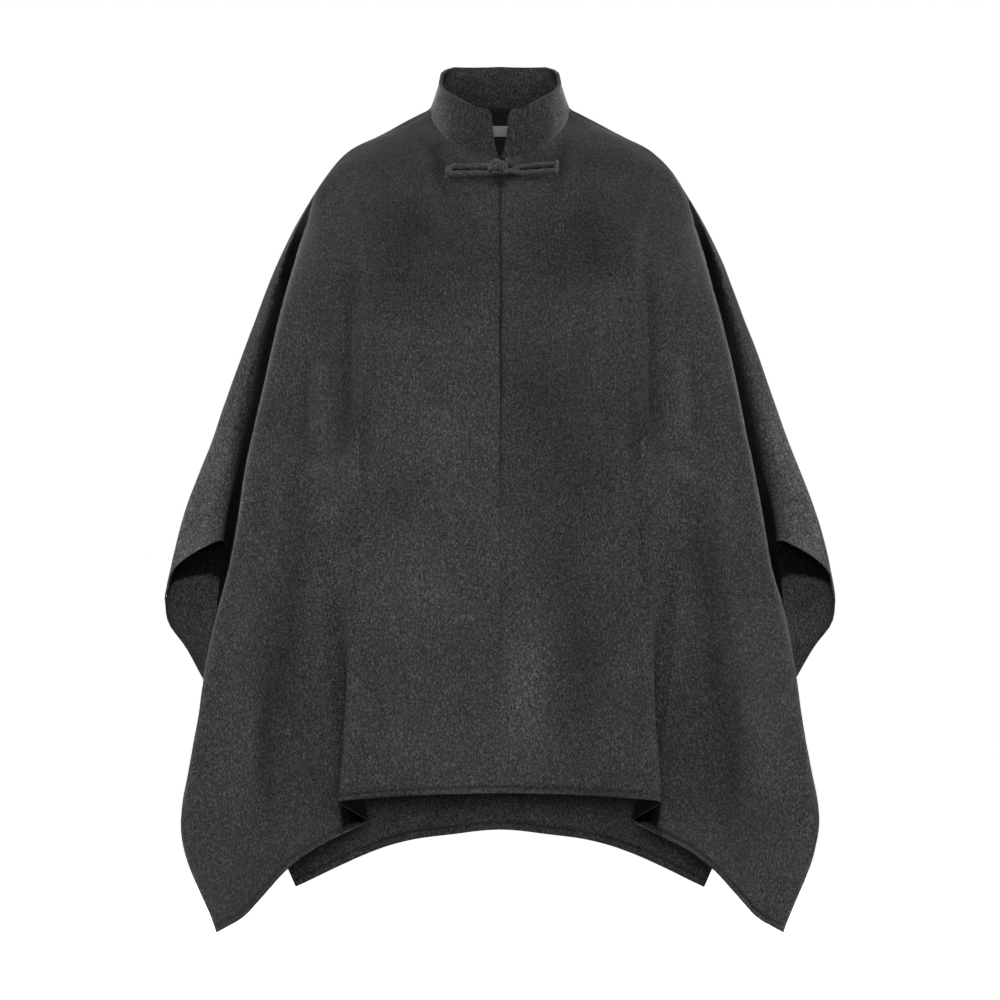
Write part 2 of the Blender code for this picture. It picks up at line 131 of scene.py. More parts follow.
def makeWool(name, look, shadedBy="napAndShade"):
    material, tree, shader = newMaterial(name)
    place = addNode(tree, "ShaderNodeTexCoord", {}).outputs["Object"]
    downNap = look["tuft width"] / look["tuft length"]
    # texture coordinates stretched down the nap
    napAndShade = addNode(tree, "ShaderNodeMapping", {"Vector": place, "Scale": (1, 1, downNap)}).outputs[0]
    tufts = addNode(tree, "ShaderNodeTexNoise", {
        "Vector": napAndShade, "Scale": 1 / (look["tuft width"] * mm), "Detail": 3, "Roughness": 0.7,
    }).outputs[0]
    flecks = addNode(tree, "ShaderNodeTexNoise", {
        "Vector": napAndShade, "Scale": 1 / (look["fleck width"] * mm), "Detail": 1, "Roughness": 0.5,
    }).outputs[0]
    fibres = addNode(tree, "ShaderNodeMix", {"Factor": 0.4, "A": tufts, "B": flecks}).outputs[0]
    ramp = addNode(tree, "ShaderNodeValToRGB", {"Fac": fibres})
    setStops(ramp, [(0.34, look["dark fibre"]), (0.5, look["ground"]), (0.68, look["pale fibre"])])
    patch = addNode(tree, "ShaderNodeTexNoise", {
        "Vector": place, "Scale": 1 / (look["tint patch"] * mm), "Detail": 2,
    }).outputs[0]
    tints = addNode(tree, "ShaderNodeValToRGB", {"Fac": patch})
    setStops(tints, [(0.4, look["warm tint"]), (0.6, look["cool tint"])])
    tinted = addNode(tree, "ShaderNodeMix", {
        "Factor": 1.0, 6: ramp.outputs[0], 7: tints.outputs[0],
    }, data_type="RGBA", blend_type="MULTIPLY").outputs[2]
    shade = addNode(tree, "ShaderNodeTexNoise", {
        "Vector": place, "Scale": 1 / (look["shade patch"] * mm), "Detail": 2,
    }).outputs[0]
    spread = look["shade spread"]
    shadeGain = addNode(tree, "ShaderNodeMapRange", {
        "Value": shade, "From Min": 0.3, "From Max": 0.7, "To Min": 1 - spread,
        "To Max": 1 + spread,
    }).outputs[0]
    # the named attribute scales the colour: painted shade and painted light, with some patches of
    # nap lying another way
    paintedShadeAndNap = addNode(tree, "ShaderNodeAttribute", {}, attribute_name=shadedBy).outputs["Fac"]
    gain = addNode(tree, "ShaderNodeMath", {0: shadeGain, 1: paintedShadeAndNap}, operation="MULTIPLY")
    shaded = addNode(tree, "ShaderNodeVectorMath", {
        0: tinted, "Scale": gain.outputs[0],
    }, operation="SCALE")
    tree.links.new(shaded.outputs[0], shader.inputs["Base Color"])
    bump = addNode(tree, "ShaderNodeBump", {
        "Height": fibres, "Strength": look["bump"], "Distance": 0.7 * mm,
    })
    tree.links.new(bump.outputs[0], shader.inputs["Normal"])
    rough = addNode(tree, "ShaderNodeMapRange", {
        "Value": tufts, "From Min": 0.3, "From Max": 0.7, "To Min": 0.84, "To Max": 0.98,
    })
    tree.links.new(rough.outputs[0], shader.inputs["Roughness"])
    shader.inputs["Specular IOR Level"].default_value = look["gloss"]
    shader.inputs["Sheen Weight"].default_value = look["sheen"]
    shader.inputs["Sheen Roughness"].default_value = look["sheen roughness"]
    return material


# Polyester sewing thread, spun: darker than the wool and barely glossy.
threadLook = {"dark": "#0c0c0d", "pale": "#1c1c1e", "twist": 0.6}


def makeThread(name, look):
    material, tree, shader = newMaterial(name)
    place = addNode(tree, "ShaderNodeTexCoord", {}).outputs["Object"]
    twist = addNode(tree, "ShaderNodeTexNoise", {
        "Vector": place, "Scale": 1 / (look["twist"] * mm), "Detail": 2,
    }).outputs[0]
    ramp = addNode(tree, "ShaderNodeValToRGB", {"Fac": twist})
    setStops(ramp, [(0.35, look["dark"]), (0.65, look["pale"])])
    tree.links.new(ramp.outputs[0], shader.inputs["Base Color"])
    bump = addNode(tree, "ShaderNodeBump", {"Height": twist, "Strength": 0.5, "Distance": 0.2 * mm})
    tree.links.new(bump.outputs[0], shader.inputs["Normal"])
    shader.inputs["Roughness"].default_value = 0.7
    return material


# Polyester satin ribbon, woven: smooth, with fine cross threads and a soft gloss.
satinLook = {"low": "#8b8b87", "high": "#b0b0ab", "thread": 0.45, "wave": 9, "sheen": 0.15}


def makeSatin(name, look):
    material, tree, shader = newMaterial(name)
    place = addNode(tree, "ShaderNodeTexCoord", {}).outputs["Object"]
    threads = addNode(tree, "ShaderNodeTexWave", {
        "Vector": place, "Scale": math.pi / 10 / (look["thread"] * mm), "Distortion": 0.6,
        "Detail": 2, "Detail Scale": 4,
    }, bands_direction="Z").outputs["Fac"]
    cloud = addNode(tree, "ShaderNodeTexNoise", {
        "Vector": place, "Scale": 1 / (look["wave"] * mm), "Detail": 2,
    }).outputs[0]
    both = addNode(tree, "ShaderNodeMix", {"Factor": 0.6, "A": threads, "B": cloud}).outputs[0]
    ramp = addNode(tree, "ShaderNodeValToRGB", {"Fac": both})
    setStops(ramp, [(0.25, look["low"]), (0.75, look["high"])])
    tree.links.new(ramp.outputs[0], shader.inputs["Base Color"])
    bump = addNode(tree, "ShaderNodeBump", {
        "Height": threads, "Strength": 0.3, "Distance": 0.1 * mm,
    })
    tree.links.new(bump.outputs[0], shader.inputs["Normal"])
    shader.inputs["Roughness"].default_value = 0.42
    shader.inputs["Sheen Weight"].default_value = look["sheen"]
    return material


wool = makeWool("charcoalHeatherWoolBrushed", woolLook)
# the inner face has less sheen, and its colour is scaled by painted shade and painted light in the
# inside attribute
woolInside = makeWool("charcoalHeatherWoolInnerFace", dict(woolLook, sheen=0.05), "inside")
woolCord = makeWool("charcoalWoolCordBias", dict(woolLook, **{
    "tuft width": 1.8, "tuft length": 2.4, "fleck width": 0.9, "bump": 0.6, "shade patch": 14,
    "dark fibre": "#212224", "ground": "#434446", "pale fibre": "#6c6d70", "sheen": 0.15,
}))
thread = makeThread("darkSpunPolyesterThread", threadLook)
satin = makeSatin("greySatinRibbonWoven", satinLook)
# painted shade deep in the folds: the same wool without sheen or gloss
woolShadedInFold = makeWool("charcoalHeatherWoolShadedInFold", dict(woolLook, sheen=0.0, gloss=0.0))
print("materials made")

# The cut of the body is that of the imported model, in finer steps.

neckCut = {
    "half width": 88,
    "depth": 75,
    "shoulder height": -4,
    "front drop": 67,
    "drop power": 1.2,
    "back rise": 11,
    "stand": 5,  # how far each panel turns up before the collar's seam
    "turn": 9,
    "turn most": 0.8,
    "turn below": 0.03,  # the row that the turn heads for, as a share of the way down
}
armSeamCut = {
    "end": 0.62,  # share of the way down a panel
    "round": 15,
    "end lift": 34,
    "lift start": 0.35,
    "run": 0.01,  # length of seam that gives its direction
    "reach": 9,
    "reach end": 32,
    "shoulder pitch": 0.36,
    "pitch end": 0.12,
    "gap": 0.4,
    # share of the way down, x, y, z
    "line": (
        (0.05, -138, 2, -28),
        (0.10, -188, 4, -53),
        (0.13, -210, 5, -76),
        (0.16, -230, 6, -106),
        (0.20, -255, 7, -147),
        (0.32, -309, 9, -274),
        (0.45, -360, 12, -415),
        (0.56, -403, 14, -538),
        (0.62, -420, 15, -611),
    ),
}
frontCentre = (
    (0.06, 0, -93, -112),
    (0.12, 0, -107, -158),
    (0.20, 0, -120, -219),
    (0.32, 0, -132, -311),
    (0.62, 0, -152, -540),
    (1.00, 0, -162, -839),
)
frontBreast = (
    (0.06, -52, -90, -106),
    (0.12, -78, -105, -152),
    (0.20, -95, -121, -214),
    (0.32, -99, -134, -309),
    (0.62, -99, -155, -542),
    (1.00, -105, -165, -841),
)
frontCrease = (
    (0.06, -88, -80, -92),
    (0.12, -132, -91, -138),
    (0.20, -164, -110, -196),
    (0.32, -168, -131, -302),
    (0.45, -168, -145, -409),
    (0.62, -174, -157, -544),
    (0.80, -184, -163, -691),
    (1.00, -196, -169, -848),
)
frontTuckIn = (
    (0.06, -100, -73, -84),
    (0.12, -146, -84, -131),
    (0.20, -180, -103, -190),
    (0.32, -191, -122, -296),
    (0.45, -191, -129, -408),
    (0.62, -191, -135, -545),
    (0.80, -182, -131, -697),
    (1.00, -160, -110, -877),
)
frontTuckOut = (
    (0.06, -110, -66, -77),
    (0.12, -158, -76, -124),
    (0.20, -196, -95, -183),
    (0.32, -207, -116, -291),
    (0.45, -207, -124, -408),
    (0.62, -206, -129, -546),
    (0.80, -190, -118, -700),
    (1.00, -167, -93, -883),
)
frontDrape = (
    (0.06, -124, -54, -62),
    (0.12, -180, -60, -108),
    (0.20, -221, -80, -168),
    (0.32, -238, -108, -279),
    (0.45, -247, -122, -405),
    (0.62, -259, -131, -550),
    (0.80, -282, -137, -733),
    (1.00, -245, -133, -918),
)
frontRidge = (
    (0.06, -138, -40, -48),
    (0.12, -213, -38, -88),
    (0.20, -236, -58, -155),
    (0.32, -266, -98, -262),
    (0.45, -295, -131, -398),
    (0.62, -321, -158, -556),
    (0.80, -357, -167, -730),
    (0.90, -368, -174, -850),
    (1.00, -306, -184, -986),
)
frontHollow = (  # below the arm seam it is the free side edge, down to its corner
    (0.06, -145, -26, -38),
    (0.12, -205, -24, -76),
    (0.20, -249, -24, -150),
    (0.32, -281, -26, -268),
    (0.45, -311, -17, -402),
    (0.62, -346, -8, -538),
    (0.70, -347, -52, -632),
    (0.80, -353, -106, -732),
    (0.90, -381, -171, -876),
    (1.00, -337, -195, -1002),
)
backCentre = (
    (0.06, 0, 98, -48),
    (0.12, 0, 113, -105),
    (0.20, 0, 126, -179),
    (0.32, 0, 139, -290),
    (0.62, 0, 156, -570),
    (1.00, 0, 180, -914),
)
backBlade = (
    (0.06, -64, 90, -44),
    (0.12, -86, 108, -98),
    (0.20, -103, 124, -173),
    (0.32, -114, 138, -288),
    (0.62, -122, 157, -573),
    (1.00, -104, 177, -929),
)
backFlank = (
    (0.06, -108, 62, -36),
    (0.12, -153, 77, -86),
    (0.20, -186, 92, -162),
    (0.32, -213, 105, -281),
    (0.62, -248, 120, -583),
    (0.80, -220, 141, -765),
    (1.00, -164, 168, -942),
)
backBehindArm = (
    (0.06, -137, 30, -31),
    (0.12, -193, 37, -74),
    (0.20, -238, 44, -150),
    (0.32, -284, 54, -272),
    (0.62, -354, 69, -592),
    (0.80, -300, 104, -776),
    (1.00, -222, 157, -969),
)
backSide = (
    (0.654, -416, 20, -641),
    (0.689, -395, 28, -672),
    (0.729, -373, 40, -713),
    (0.86, -319, 94, -850),
    (1.00, -265, 150, -989),
)

# Each row: the line, its angle on the neck, the bend's reach at the top and at the hem, and the
# steps in that bend and on the stretch before it.
frontCut = {
    "placket": 14,
    "edge steps": 3,
    "placket steps": 5,
    "bends": (
        (frontBreast, 18, 45, 45, 18, 7),
        (frontCrease, 34, 30, 12, 12, 7),
        (frontTuckIn, 40, 14, 8, 6, 8),
        (frontTuckOut, 45, 14, 8, 5, 2),
        (frontDrape, 53, 50, 40, 16, 18),
        (frontRidge, 64, 15, 12, 10, 11),
        (frontHollow, 73, 24, 0, 10, 16),
    ),
    "hollow closes": 0.74,
    "band steps": 8,
    "arm steps": 10,
    "arm edge steps": 4,
}
backCut = {
    "bends": (
        (backBlade, 22, 55, 55, 20, 3),
        (backFlank, 42, 60, 50, 20, 4),
        (backBehindArm, 64, 45, 30, 16, 4),
    ),
    "centre reach": 60,
    "centre steps": 24,
    "side inset": (18, 2, 8),
    "band steps": 7,
    "arm steps": 6,
    "arm edge steps": 4,
    # folds that open towards the hem: from the centre, out of the cloth, half width, start
    "flutes": ((52, -9, 34, 0.30), (112, 10, 32, 0.25), (178, -9, 30, 0.35)),
}
bodyRows = {
    "turn steps": 8,
    "foot steps": 3,
    "upper": 92,
    "lower": 58,
    # rows beside a hem, by their distance from it
    "hem": (0, 1.1, 2.3, 3.6, 5.0, 6.2, 7.1, 7.9, 8.8, 10.0, 12.0, 15.0, 19.0, 24.0),
}
mostOfLeg = 0.48  # of a straight stretch, that a bend may take at either end
clothWall = {"wall": 2.6, "thickest": 3.5, "collar": 3.0, "edge": 0.8, "collar edge": 1.2}
farOff = 1e3


def onLine(rows, down):
    table = np.array(rows, float)
    at, points = table[:, 0], table[:, 1:]
    slopes = np.gradient(points, at, axis=0)
    k = int(np.clip(np.searchsorted(at, down) - 1, 0, len(at) - 2))
    step = at[k + 1] - at[k]
    s = (down - at[k]) / step
    return (
        (1 + 2 * s) * (1 - s) ** 2 * points[k]
        + s * (1 - s) ** 2 * step * slopes[k]
        + s * s * (3 - 2 * s) * points[k + 1]
        - s * s * (1 - s) * step * slopes[k + 1]
    )


def neckPoint(angle, front):
    across = math.sin(math.radians(angle))
    along = math.cos(math.radians(angle))
    x = -neckCut["half width"] * across
    if front:
        y = -neckCut["depth"] * along
        z = neckCut["shoulder height"] - neckCut["front drop"] * along ** neckCut["drop power"]
    else:
        y = neckCut["depth"] * along
        z = neckCut["shoulder height"] + neckCut["back rise"] * along
    return np.array((x, y, z))


def linePoint(rows, angle, front, down):
    return onLine(((0.0, *neckPoint(angle, front)), *rows), down)


def seamPoint(down):
    return linePoint(armSeamCut["line"], 90, True, min(down, armSeamCut["end"]))


def overArm(down):
    pitch = armSeamCut["shoulder pitch"] * (1 - smooth(down / armSeamCut["pitch end"]))
    direction = np.array((0, 1, pitch))
    return direction / np.linalg.norm(direction)


def straight(start, end, steps):
    return [mix(start, end, step / steps) for step in range(1, steps + 1)]


def roundedRow(stops, legs):
    # a stop is its point, how far its bend reaches to both sides, and the steps in that bend
    points = [stops[0][0]]
    for k in range(1, len(stops) - 1):
        here, reach, steps = stops[k]
        before, after = stops[k - 1][0] - here, stops[k + 1][0] - here
        start = here + before * min(reach / np.linalg.norm(before), mostOfLeg)
        end = here + after * min(reach / np.linalg.norm(after), mostOfLeg)
        points += straight(points[-1], start, legs[k - 1])
        for step in range(1, steps + 1):
            s = step / steps
            points.append((1 - s) ** 2 * start + 2 * s * (1 - s) * here + s * s * end)
    return points + straight(points[-1], stops[-1][0], legs[-1])


def bendsAt(bends, front, down):
    stops, legs = [], []
    for rows, angle, reachTop, reachHem, bendSteps, legSteps in bends:
        share = down
        if rows is frontHollow:
            share = past(down, armSeamCut["end"], frontCut["hollow closes"] - armSeamCut["end"])
        reach = mix(reachTop, reachHem, share)
        stops.append((linePoint(rows, angle, front, down), reach, bendSteps))
        legs.append(legSteps)
    return stops, legs


def frontRow(down):
    centre = linePoint(frontCentre, 0, True, down)
    edge = centre - np.array((armSeamCut["gap"] / 2, 0, 0))
    placket = centre - np.array((frontCut["placket"], 0, 0))
    stops, legs = bendsAt(frontCut["bends"], True, down)
    seam = seamPoint(down)
    towards = overArm(down)
    lower = min(down + armSeamCut["run"], armSeamCut["end"])
    run = seamPoint(lower) - seamPoint(lower - armSeamCut["run"])
    ending = past(down, armSeamCut["lift start"], armSeamCut["end"] - armSeamCut["lift start"])
    lift = run / np.linalg.norm(run) * armSeamCut["end lift"] * ending
    arm = seam - towards * armSeamCut["round"] - lift
    armReach = mix(armSeamCut["reach"], armSeamCut["reach end"], ending)
    stops = [(edge, 0, 0), (placket, frontCut["placket"], frontCut["placket steps"])] + stops
    armEdge = seam - towards * armSeamCut["gap"] / 2
    stops += [(arm, armReach, frontCut["arm steps"]), (armEdge, 0, 0)]
    legs = [frontCut["edge steps"]] + legs + [frontCut["band steps"], frontCut["arm edge steps"]]
    return roundedRow(stops, legs)


def backRow(down):
    centre = linePoint(backCentre, 0, False, down)
    stops, legs = bendsAt(backCut["bends"], False, down)
    seam = seamPoint(down)
    towards = overArm(down)
    edge = seam + towards * armSeamCut["gap"] / 2
    inset = towards * armSeamCut["round"]
    if down > armSeamCut["end"]:
        below = (down - armSeamCut["end"]) / (1 - armSeamCut["end"])
        edge = onLine(((armSeamCut["end"], *edge), *backSide), down)
        inset = inset * (1 - below) + np.array(backCut["side inset"]) * below
    half = stops + [(edge + inset, armSeamCut["reach"], backCut["arm steps"]), (edge, 0, 0)]
    legs += [backCut["band steps"], backCut["arm edge steps"]]
    other = [(mirrored(point), reach, steps) for point, reach, steps in half]
    middle = [(centre, backCut["centre reach"], backCut["centre steps"])]
    row = np.array(roundedRow(other[::-1] + middle + half, legs[::-1] + legs))
    for place, most, width, start in backCut["flutes"]:
        grown = past(down, start, 1 - start)
        row[:, 1] += most * grown * bell(abs(row[:, 0]) - place, width * mix(0.7, 1, grown))
    return row


def collarTop(angle):
    degrees, heights = np.array(collarCut["top"]).T
    depth = collarCut["top front"] if angle < 90 else collarCut["top back"]
    x = collarCut["top half width"] * math.sin(math.radians(angle))
    y = -depth * math.cos(math.radians(angle))
    return np.array((x, y, np.interp(angle, degrees, heights)))


def neckAngle(point):
    across, forward = abs(point[0]) / neckCut["half width"], -point[1] / neckCut["depth"]
    return math.degrees(math.atan2(across, forward))


def collarLean(point):
    top = collarTop(neckAngle(point))
    top[0] = math.copysign(top[0], point[0]) if point[0] else 0.0
    rise = top - point
    return rise / np.linalg.norm(rise)


collarCut = {
    # height of the top edge by the angle from the centre front
    "top": (
        (0, -8), (13, -6), (25, 1), (39, 10), (55, 18), (70, 27), (90, 39), (100, 47), (115, 54),
        (130, 59), (180, 62.5),
    ),
    "top half width": 72,
    "top front": 71,
    "top back": 62,
    "open": 10.5,  # half the gap between its front edges at the top
    "open power": 0.45,
    "corner": 7,
    "gap": -1.0,  # its foot is sewn over the panels' turned-up edge
    "rows": 16,
    "columns": 84,
}


def panelRows(rowOf):
    # the first rows turn up from the panel into the collar's seam
    base = np.array(rowOf(0.0))
    below = np.array(rowOf(neckCut["turn below"]))
    lean = np.array([collarLean(point) for point in base])
    top = base + lean * neckCut["stand"]
    away = below - base
    length = np.linalg.norm(away, axis=1, keepdims=True)
    foot = base + away * np.minimum(neckCut["turn"] / length, neckCut["turn most"])
    rows = []
    for k in range(bodyRows["turn steps"] + 1):
        s = k / bodyRows["turn steps"]
        rows.append((1 - s) ** 2 * top + 2 * s * (1 - s) * base + s * s * foot)
    for k in range(1, bodyRows["foot steps"]):
        rows.append(foot + (below - foot) * k / bodyRows["foot steps"])
    for down in np.linspace(neckCut["turn below"], armSeamCut["end"], bodyRows["upper"]):
        rows.append(np.array(rowOf(down)))
    openRow = len(rows) - 1
    for down in np.linspace(armSeamCut["end"], 1.0, bodyRows["lower"] + 1)[1:]:
        rows.append(np.array(rowOf(down)))
    return np.array(rows), openRow


def runFromEdge(points):
    # length along each column of an array of rows, from its last row
    steps = np.linalg.norm(np.diff(points[::-1], axis=0), axis=-1)
    run = np.concatenate([np.zeros((1, points.shape[1])), np.cumsum(steps, axis=0)])
    return run[::-1]


def runDown(points):
    # the same from its first row
    return runFromEdge(points[::-1])[::-1]


def runFromRight(points):
    # length along each row, from its last point
    return runFromEdge(points.transpose(1, 0, 2)).transpose(1, 0)


def runFromLeft(points):
    return runFromRight(points[:, ::-1])[:, ::-1]


def closeRowsAtHem(rows, openRow, columns):
    # moves the lower rows of the columns that reach the hem, so that the last lie close beside it
    part = rows[openRow:, :columns]
    run = runFromEdge(part)
    fixed = np.array(bodyRows["hem"][::-1], float)
    rest = len(part) - len(fixed)
    for column in range(columns):
        spots = np.concatenate([np.linspace(run[0, column], fixed[0], rest + 1)[:-1], fixed])
        for axis in range(3):
            known = rows[openRow:, column, axis][::-1].copy()
            part[:, column, axis] = np.interp(spots, run[::-1, column], known)
    rows[openRow:, :columns] = part
    return rows


def outwards(rows, turned):
    across = np.gradient(rows, axis=1)
    down = np.gradient(rows, axis=0)
    normal = np.cross(across, down)
    normal /= np.maximum(np.linalg.norm(normal, axis=2, keepdims=True), 1e-9)
    return -normal if turned else normal


# Soft troughs and ridges that lie over the main forms. Each row: the points x, z along it, its half
# width, how far it stands out (minus: a trough), and how much painted shade (minus) or painted
# light it lays on the cloth. The other half has its own sizes where a second list gives them.
frontFolds = [
    # the long valley of the drape below the elbow
    (
        ((-240, -470), (-240, -556), (-252, -630), (-270, -740), (-280, -822), (-278, -890)),
        15, -7, -0.16,
    ),
    # what stands up beside it
    (((-276, -440), (-277, -520), (-287, -600)), 9, 3, 0.07),
    (((-240, -560), (-232, -650), (-226, -760), (-216, -860)), 17, 4, 0.05),
    (((-318, -560), (-330, -680), (-338, -800), (-330, -900)), 26, 5, 0.06),
    # beside the long crease, above the elbow
    (((-176, -190), (-181, -260), (-182, -330), (-181, -410)), 8, -4, -0.20),
    (((-165, -178), (-162, -240), (-164, -330), (-166, -420)), 4, 1.6, 0.10),
    (((-211, -300), (-211, -360), (-212, -425)), 12, 3, 0.08),
    (((-232, -300), (-233, -380), (-236, -432)), 9, -3, -0.06),
    # the break across it at the elbow
    (((-236, -433), (-205, -428), (-176, -431)), 5, -3, -0.10),
    (((-232, -453), (-205, -452), (-172, -451)), 11, 5, 0.14),
    (((-238, -474), (-205, -478), (-176, -476)), 9, -2.5, -0.05),
    # over the shoulder and from the neck
    (((-190, -96), (-176, -140), (-166, -180), (-164, -215)), 5, 2.2, 0.12),
    (((-91, -48), (-86, -95), (-72, -150), (-62, -178)), 5, 2.4, 0.12),
    (((-78, -40), (-72, -82), (-60, -130)), 9, -3, -0.12),
    (((-88, -130), (-104, -170), (-130, -245)), 24, -5, -0.10),
    # what the closure pulls at
    (((-10, -60), (-24, -62), (-38, -64)), 2.6, 0.4, 0.04),
    (((-8, -66), (-22, -69), (-36, -72)), 2.4, -0.5, -0.04),
]
# Shade under the closure and between its cords.
loopShades = [
    (((-4, -98), (-38, -97), (-66, -96)), 2.4, 0, -0.6),
    (((-8, -86), (-60, -86)), 1.8, 0, -0.8),
]
tabShades = [
    (((-4, -97), (-38, -95), (-66, -92)), 2.4, 0, -0.7),
    (((-16, -86), (-66, -82)), 1.8, 0, -0.8),
]
# Soft patches of painted shade and painted light, partly where the nap lies another way, and a
# painted shadow under the knot: x, z, half width, half height, lighter or darker.
frontPatches = [
    (-85, -190, 120, 120, -0.36),
    (-75, -400, 42, 60, 0.12),
    (-110, -478, 34, 45, -0.24),
    (-76, -600, 40, 50, 0.20),
    (-105, -745, 50, 34, -0.08),
    (-68, -832, 34, 22, 0.10),
    (-120, -140, 90, 60, -0.14),
    (-120, -72, 70, 22, -0.18),
    (-160, -665, 34, 30, -0.16),
    (-108, -790, 24, 24, 0.14),
    (-150, -487, 34, 110, -0.10),
    (-145, -718, 36, 40, -0.16),
    (-180, -350, 22, 90, -0.20),
    (-217, -600, 22, 130, 0.28),
    (-285, -890, 26, 70, -0.16),
    (-182, -405, 22, 36, -0.18),
    (-130, -830, 50, 30, -0.12),
    (-215, -240, 30, 60, -0.15),
    # painted shadow under the knot
    (0, -101, 10, 5, -0.9),
]
otherPatches = [
    (-85, -180, 130, 110, -0.34),
    (-70, -400, 100, 110, -0.18),
    (-30, -705, 30, 74, 0.60),
    (-38, -355, 38, 46, -0.20),
    (-96, -680, 28, 140, -0.24),
    (-120, -245, 40, 36, 0.22),
    (-150, -680, 28, 40, 0.10),
    (-100, -560, 85, 300, -0.24),
    (-120, -140, 90, 60, -0.10),
    (-215, -260, 30, 80, -0.12),
    (-180, -380, 22, 90, -0.22),
    (-217, -590, 22, 130, 0.28),
    (-108, -72, 60, 22, -0.22),
    (-108, -560, 26, 50, 0.18),
    (-285, -880, 26, 70, -0.16),
    # painted shadow under the knot
    (0, -101, 10, 5, -0.9),
]
backFolds = [
    (((-40, -150), (-52, -300), (-60, -470), (-62, -640), (-56, -900)), 20, -5, -0.12),
    (((-96, -130), (-120, -280), (-134, -450), (-130, -640), (-112, -920)), 24, 5, 0.07),
    (((-150, -170), (-182, -330), (-202, -520), (-200, -700), (-180, -930)), 20, -7, -0.18),
    (((-200, -210), (-236, -350), (-262, -520), (-262, -680), (-226, -900)), 17, 4, 0.06),
    (((-238, -230), (-276, -380), (-306, -560), (-300, -720)), 13, -5, -0.14),
    (((-90, -62), (-66, -110), (-30, -150)), 9, -2.5, -0.08),
    (((-160, -96), (-132, -150), (-90, -205)), 12, 2.5, 0.05),
    (((-210, -440), (-250, -456), (-300, -440)), 12, 3.5, 0.08),
    (((-216, -470), (-256, -486), (-304, -474)), 10, -3, -0.07),
]
# Soft patches of painted shade and painted light on the back, given the same way.
backPatches = [
    (-60, -260, 60, 80, -0.08),
    (-20, -520, 50, 90, 0.08),
    (-120, -760, 60, 80, 0.08),
    (-150, -420, 50, 70, -0.07),
]


def distanceToPath(x, z, path):
    # nearest distance to a path, and how far along it that is
    points = np.array(path, float)
    legs = np.linalg.norm(np.diff(points, axis=0), axis=1)
    before = np.concatenate([[0], np.cumsum(legs)])
    nearest = np.full(x.shape, 1e9)
    along = np.zeros(x.shape)
    for k, leg in enumerate(legs):
        (ax, az), (bx, bz) = points[k], points[k + 1]
        share = np.clip(((x - ax) * (bx - ax) + (z - az) * (bz - az)) / leg**2, 0, 1)
        away = np.hypot(x - ax - share * (bx - ax), z - az - share * (bz - az))
        nearer = away < nearest
        nearest = np.where(nearer, away, nearest)
        along = np.where(nearer, (before[k] + share * leg) / before[-1], along)
    return nearest, along


def foldHeights(rows, folds, sizes):
    height = np.zeros(rows.shape[:2])
    napAndShade = np.zeros(rows.shape[:2])
    x, z = -abs(rows[..., 0]), rows[..., 2]
    for k, (path, width, out, shade) in enumerate(folds):
        away, along = distanceToPath(x, z, path)
        ends = smooth(along / 0.22) * smooth((1 - along) / 0.22)
        size = sizes[k % len(sizes)]
        height += out * size * ends * bell(away, width)
        napAndShade += shade * size * ends * bell(away, 1.1 * width)
    return height, napAndShade


def patchShades(rows, patches):
    napAndShade = np.zeros(rows.shape[:2])
    x, z = -abs(rows[..., 0]), rows[..., 2]
    for px, pz, wide, high, shade in patches:
        napAndShade += shade * bell(x - px, wide) * bell(z - pz, high)
    return napAndShade


def waves(rows, scale, most, seed):
    # slight unevenness all over the cloth
    flat = rows.reshape(-1, 3) / scale
    offset = Vector((seed * 7.3, seed * 3.1, seed * 5.7))
    values = [noise.noise(Vector(point) + offset) for point in flat]
    return np.array(values).reshape(rows.shape[:2]) * most


def clothObject(name, rows, thickness, napAndShade, inside, turned, kept, wall, edge, inner, fold=None):
    height, width = rows.shape[0] - 1, rows.shape[1] - 1
    sheet = bmesh.new()
    bmesh.ops.create_grid(sheet, x_segments=width, y_segments=height, size=0.5)
    napAndShadeLayer = sheet.verts.layers.float.new("napAndShade")
    insideLayer = sheet.verts.layers.float.new("inside")
    groups = sheet.verts.layers.deform.new()
    outside, places = [], {}
    for vert in sheet.verts:
        spot = round((0.5 - vert.co.y) * height), round((vert.co.x + 0.5) * width)
        places[vert] = Vector(rows[spot] * mm)
        vert[napAndShadeLayer] = napAndShade[spot]
        vert[insideLayer] = inside[spot]
        vert[groups][0] = thickness[spot]
        if not kept[spot]:
            outside.append(vert)
    # faces under the mask take the sheenless wool, as painted shade
    if fold is not None:
        for face in sheet.faces:
            middle = face.calc_center_median()
            flat = fold[int((0.5 - middle.y) * height), int((middle.x + 0.5) * width)]
            face.material_index = 2 * int(flat)
    for vert, place in places.items():
        vert.co = place
    bmesh.ops.delete(sheet, geom=outside, context="VERTS")
    sheet.normal_update()
    if not turned:
        bmesh.ops.reverse_faces(sheet, faces=sheet.faces)
    mesh = bpy.data.meshes.new(name)
    sheet.to_mesh(mesh)
    sheet.free()
    mesh.shade_smooth()
    # the inner face's material follows the outer one's in the list
    for material in (wool, inner) if fold is None else (wool, inner, woolShadedInFold, inner):
        mesh.materials.append(material)
    piece = linked(name, mesh)
    piece.vertex_groups.new(name="thickness")
    solid = piece.modifiers.new("wall", "SOLIDIFY")
    solid.thickness = wall * mm
    solid.offset = 0
    solid.vertex_group = "thickness"
    solid.material_offset = 1
    rounding = piece.modifiers.new("edge", "BEVEL")
    rounding.width = edge * mm
    rounding.segments = 3
    rounding.limit_method = "ANGLE"
    rounding.angle_limit = math.radians(55)
    return piece


def clothArea(rows, kept):
    across, down = np.diff(rows, axis=1)[:-1], np.diff(rows, axis=0)[:, :-1]
    area = np.linalg.norm(np.cross(across, down), axis=2)
    return float((area * (kept[:-1, :-1] & kept[1:, 1:])).sum()) * 1e-6


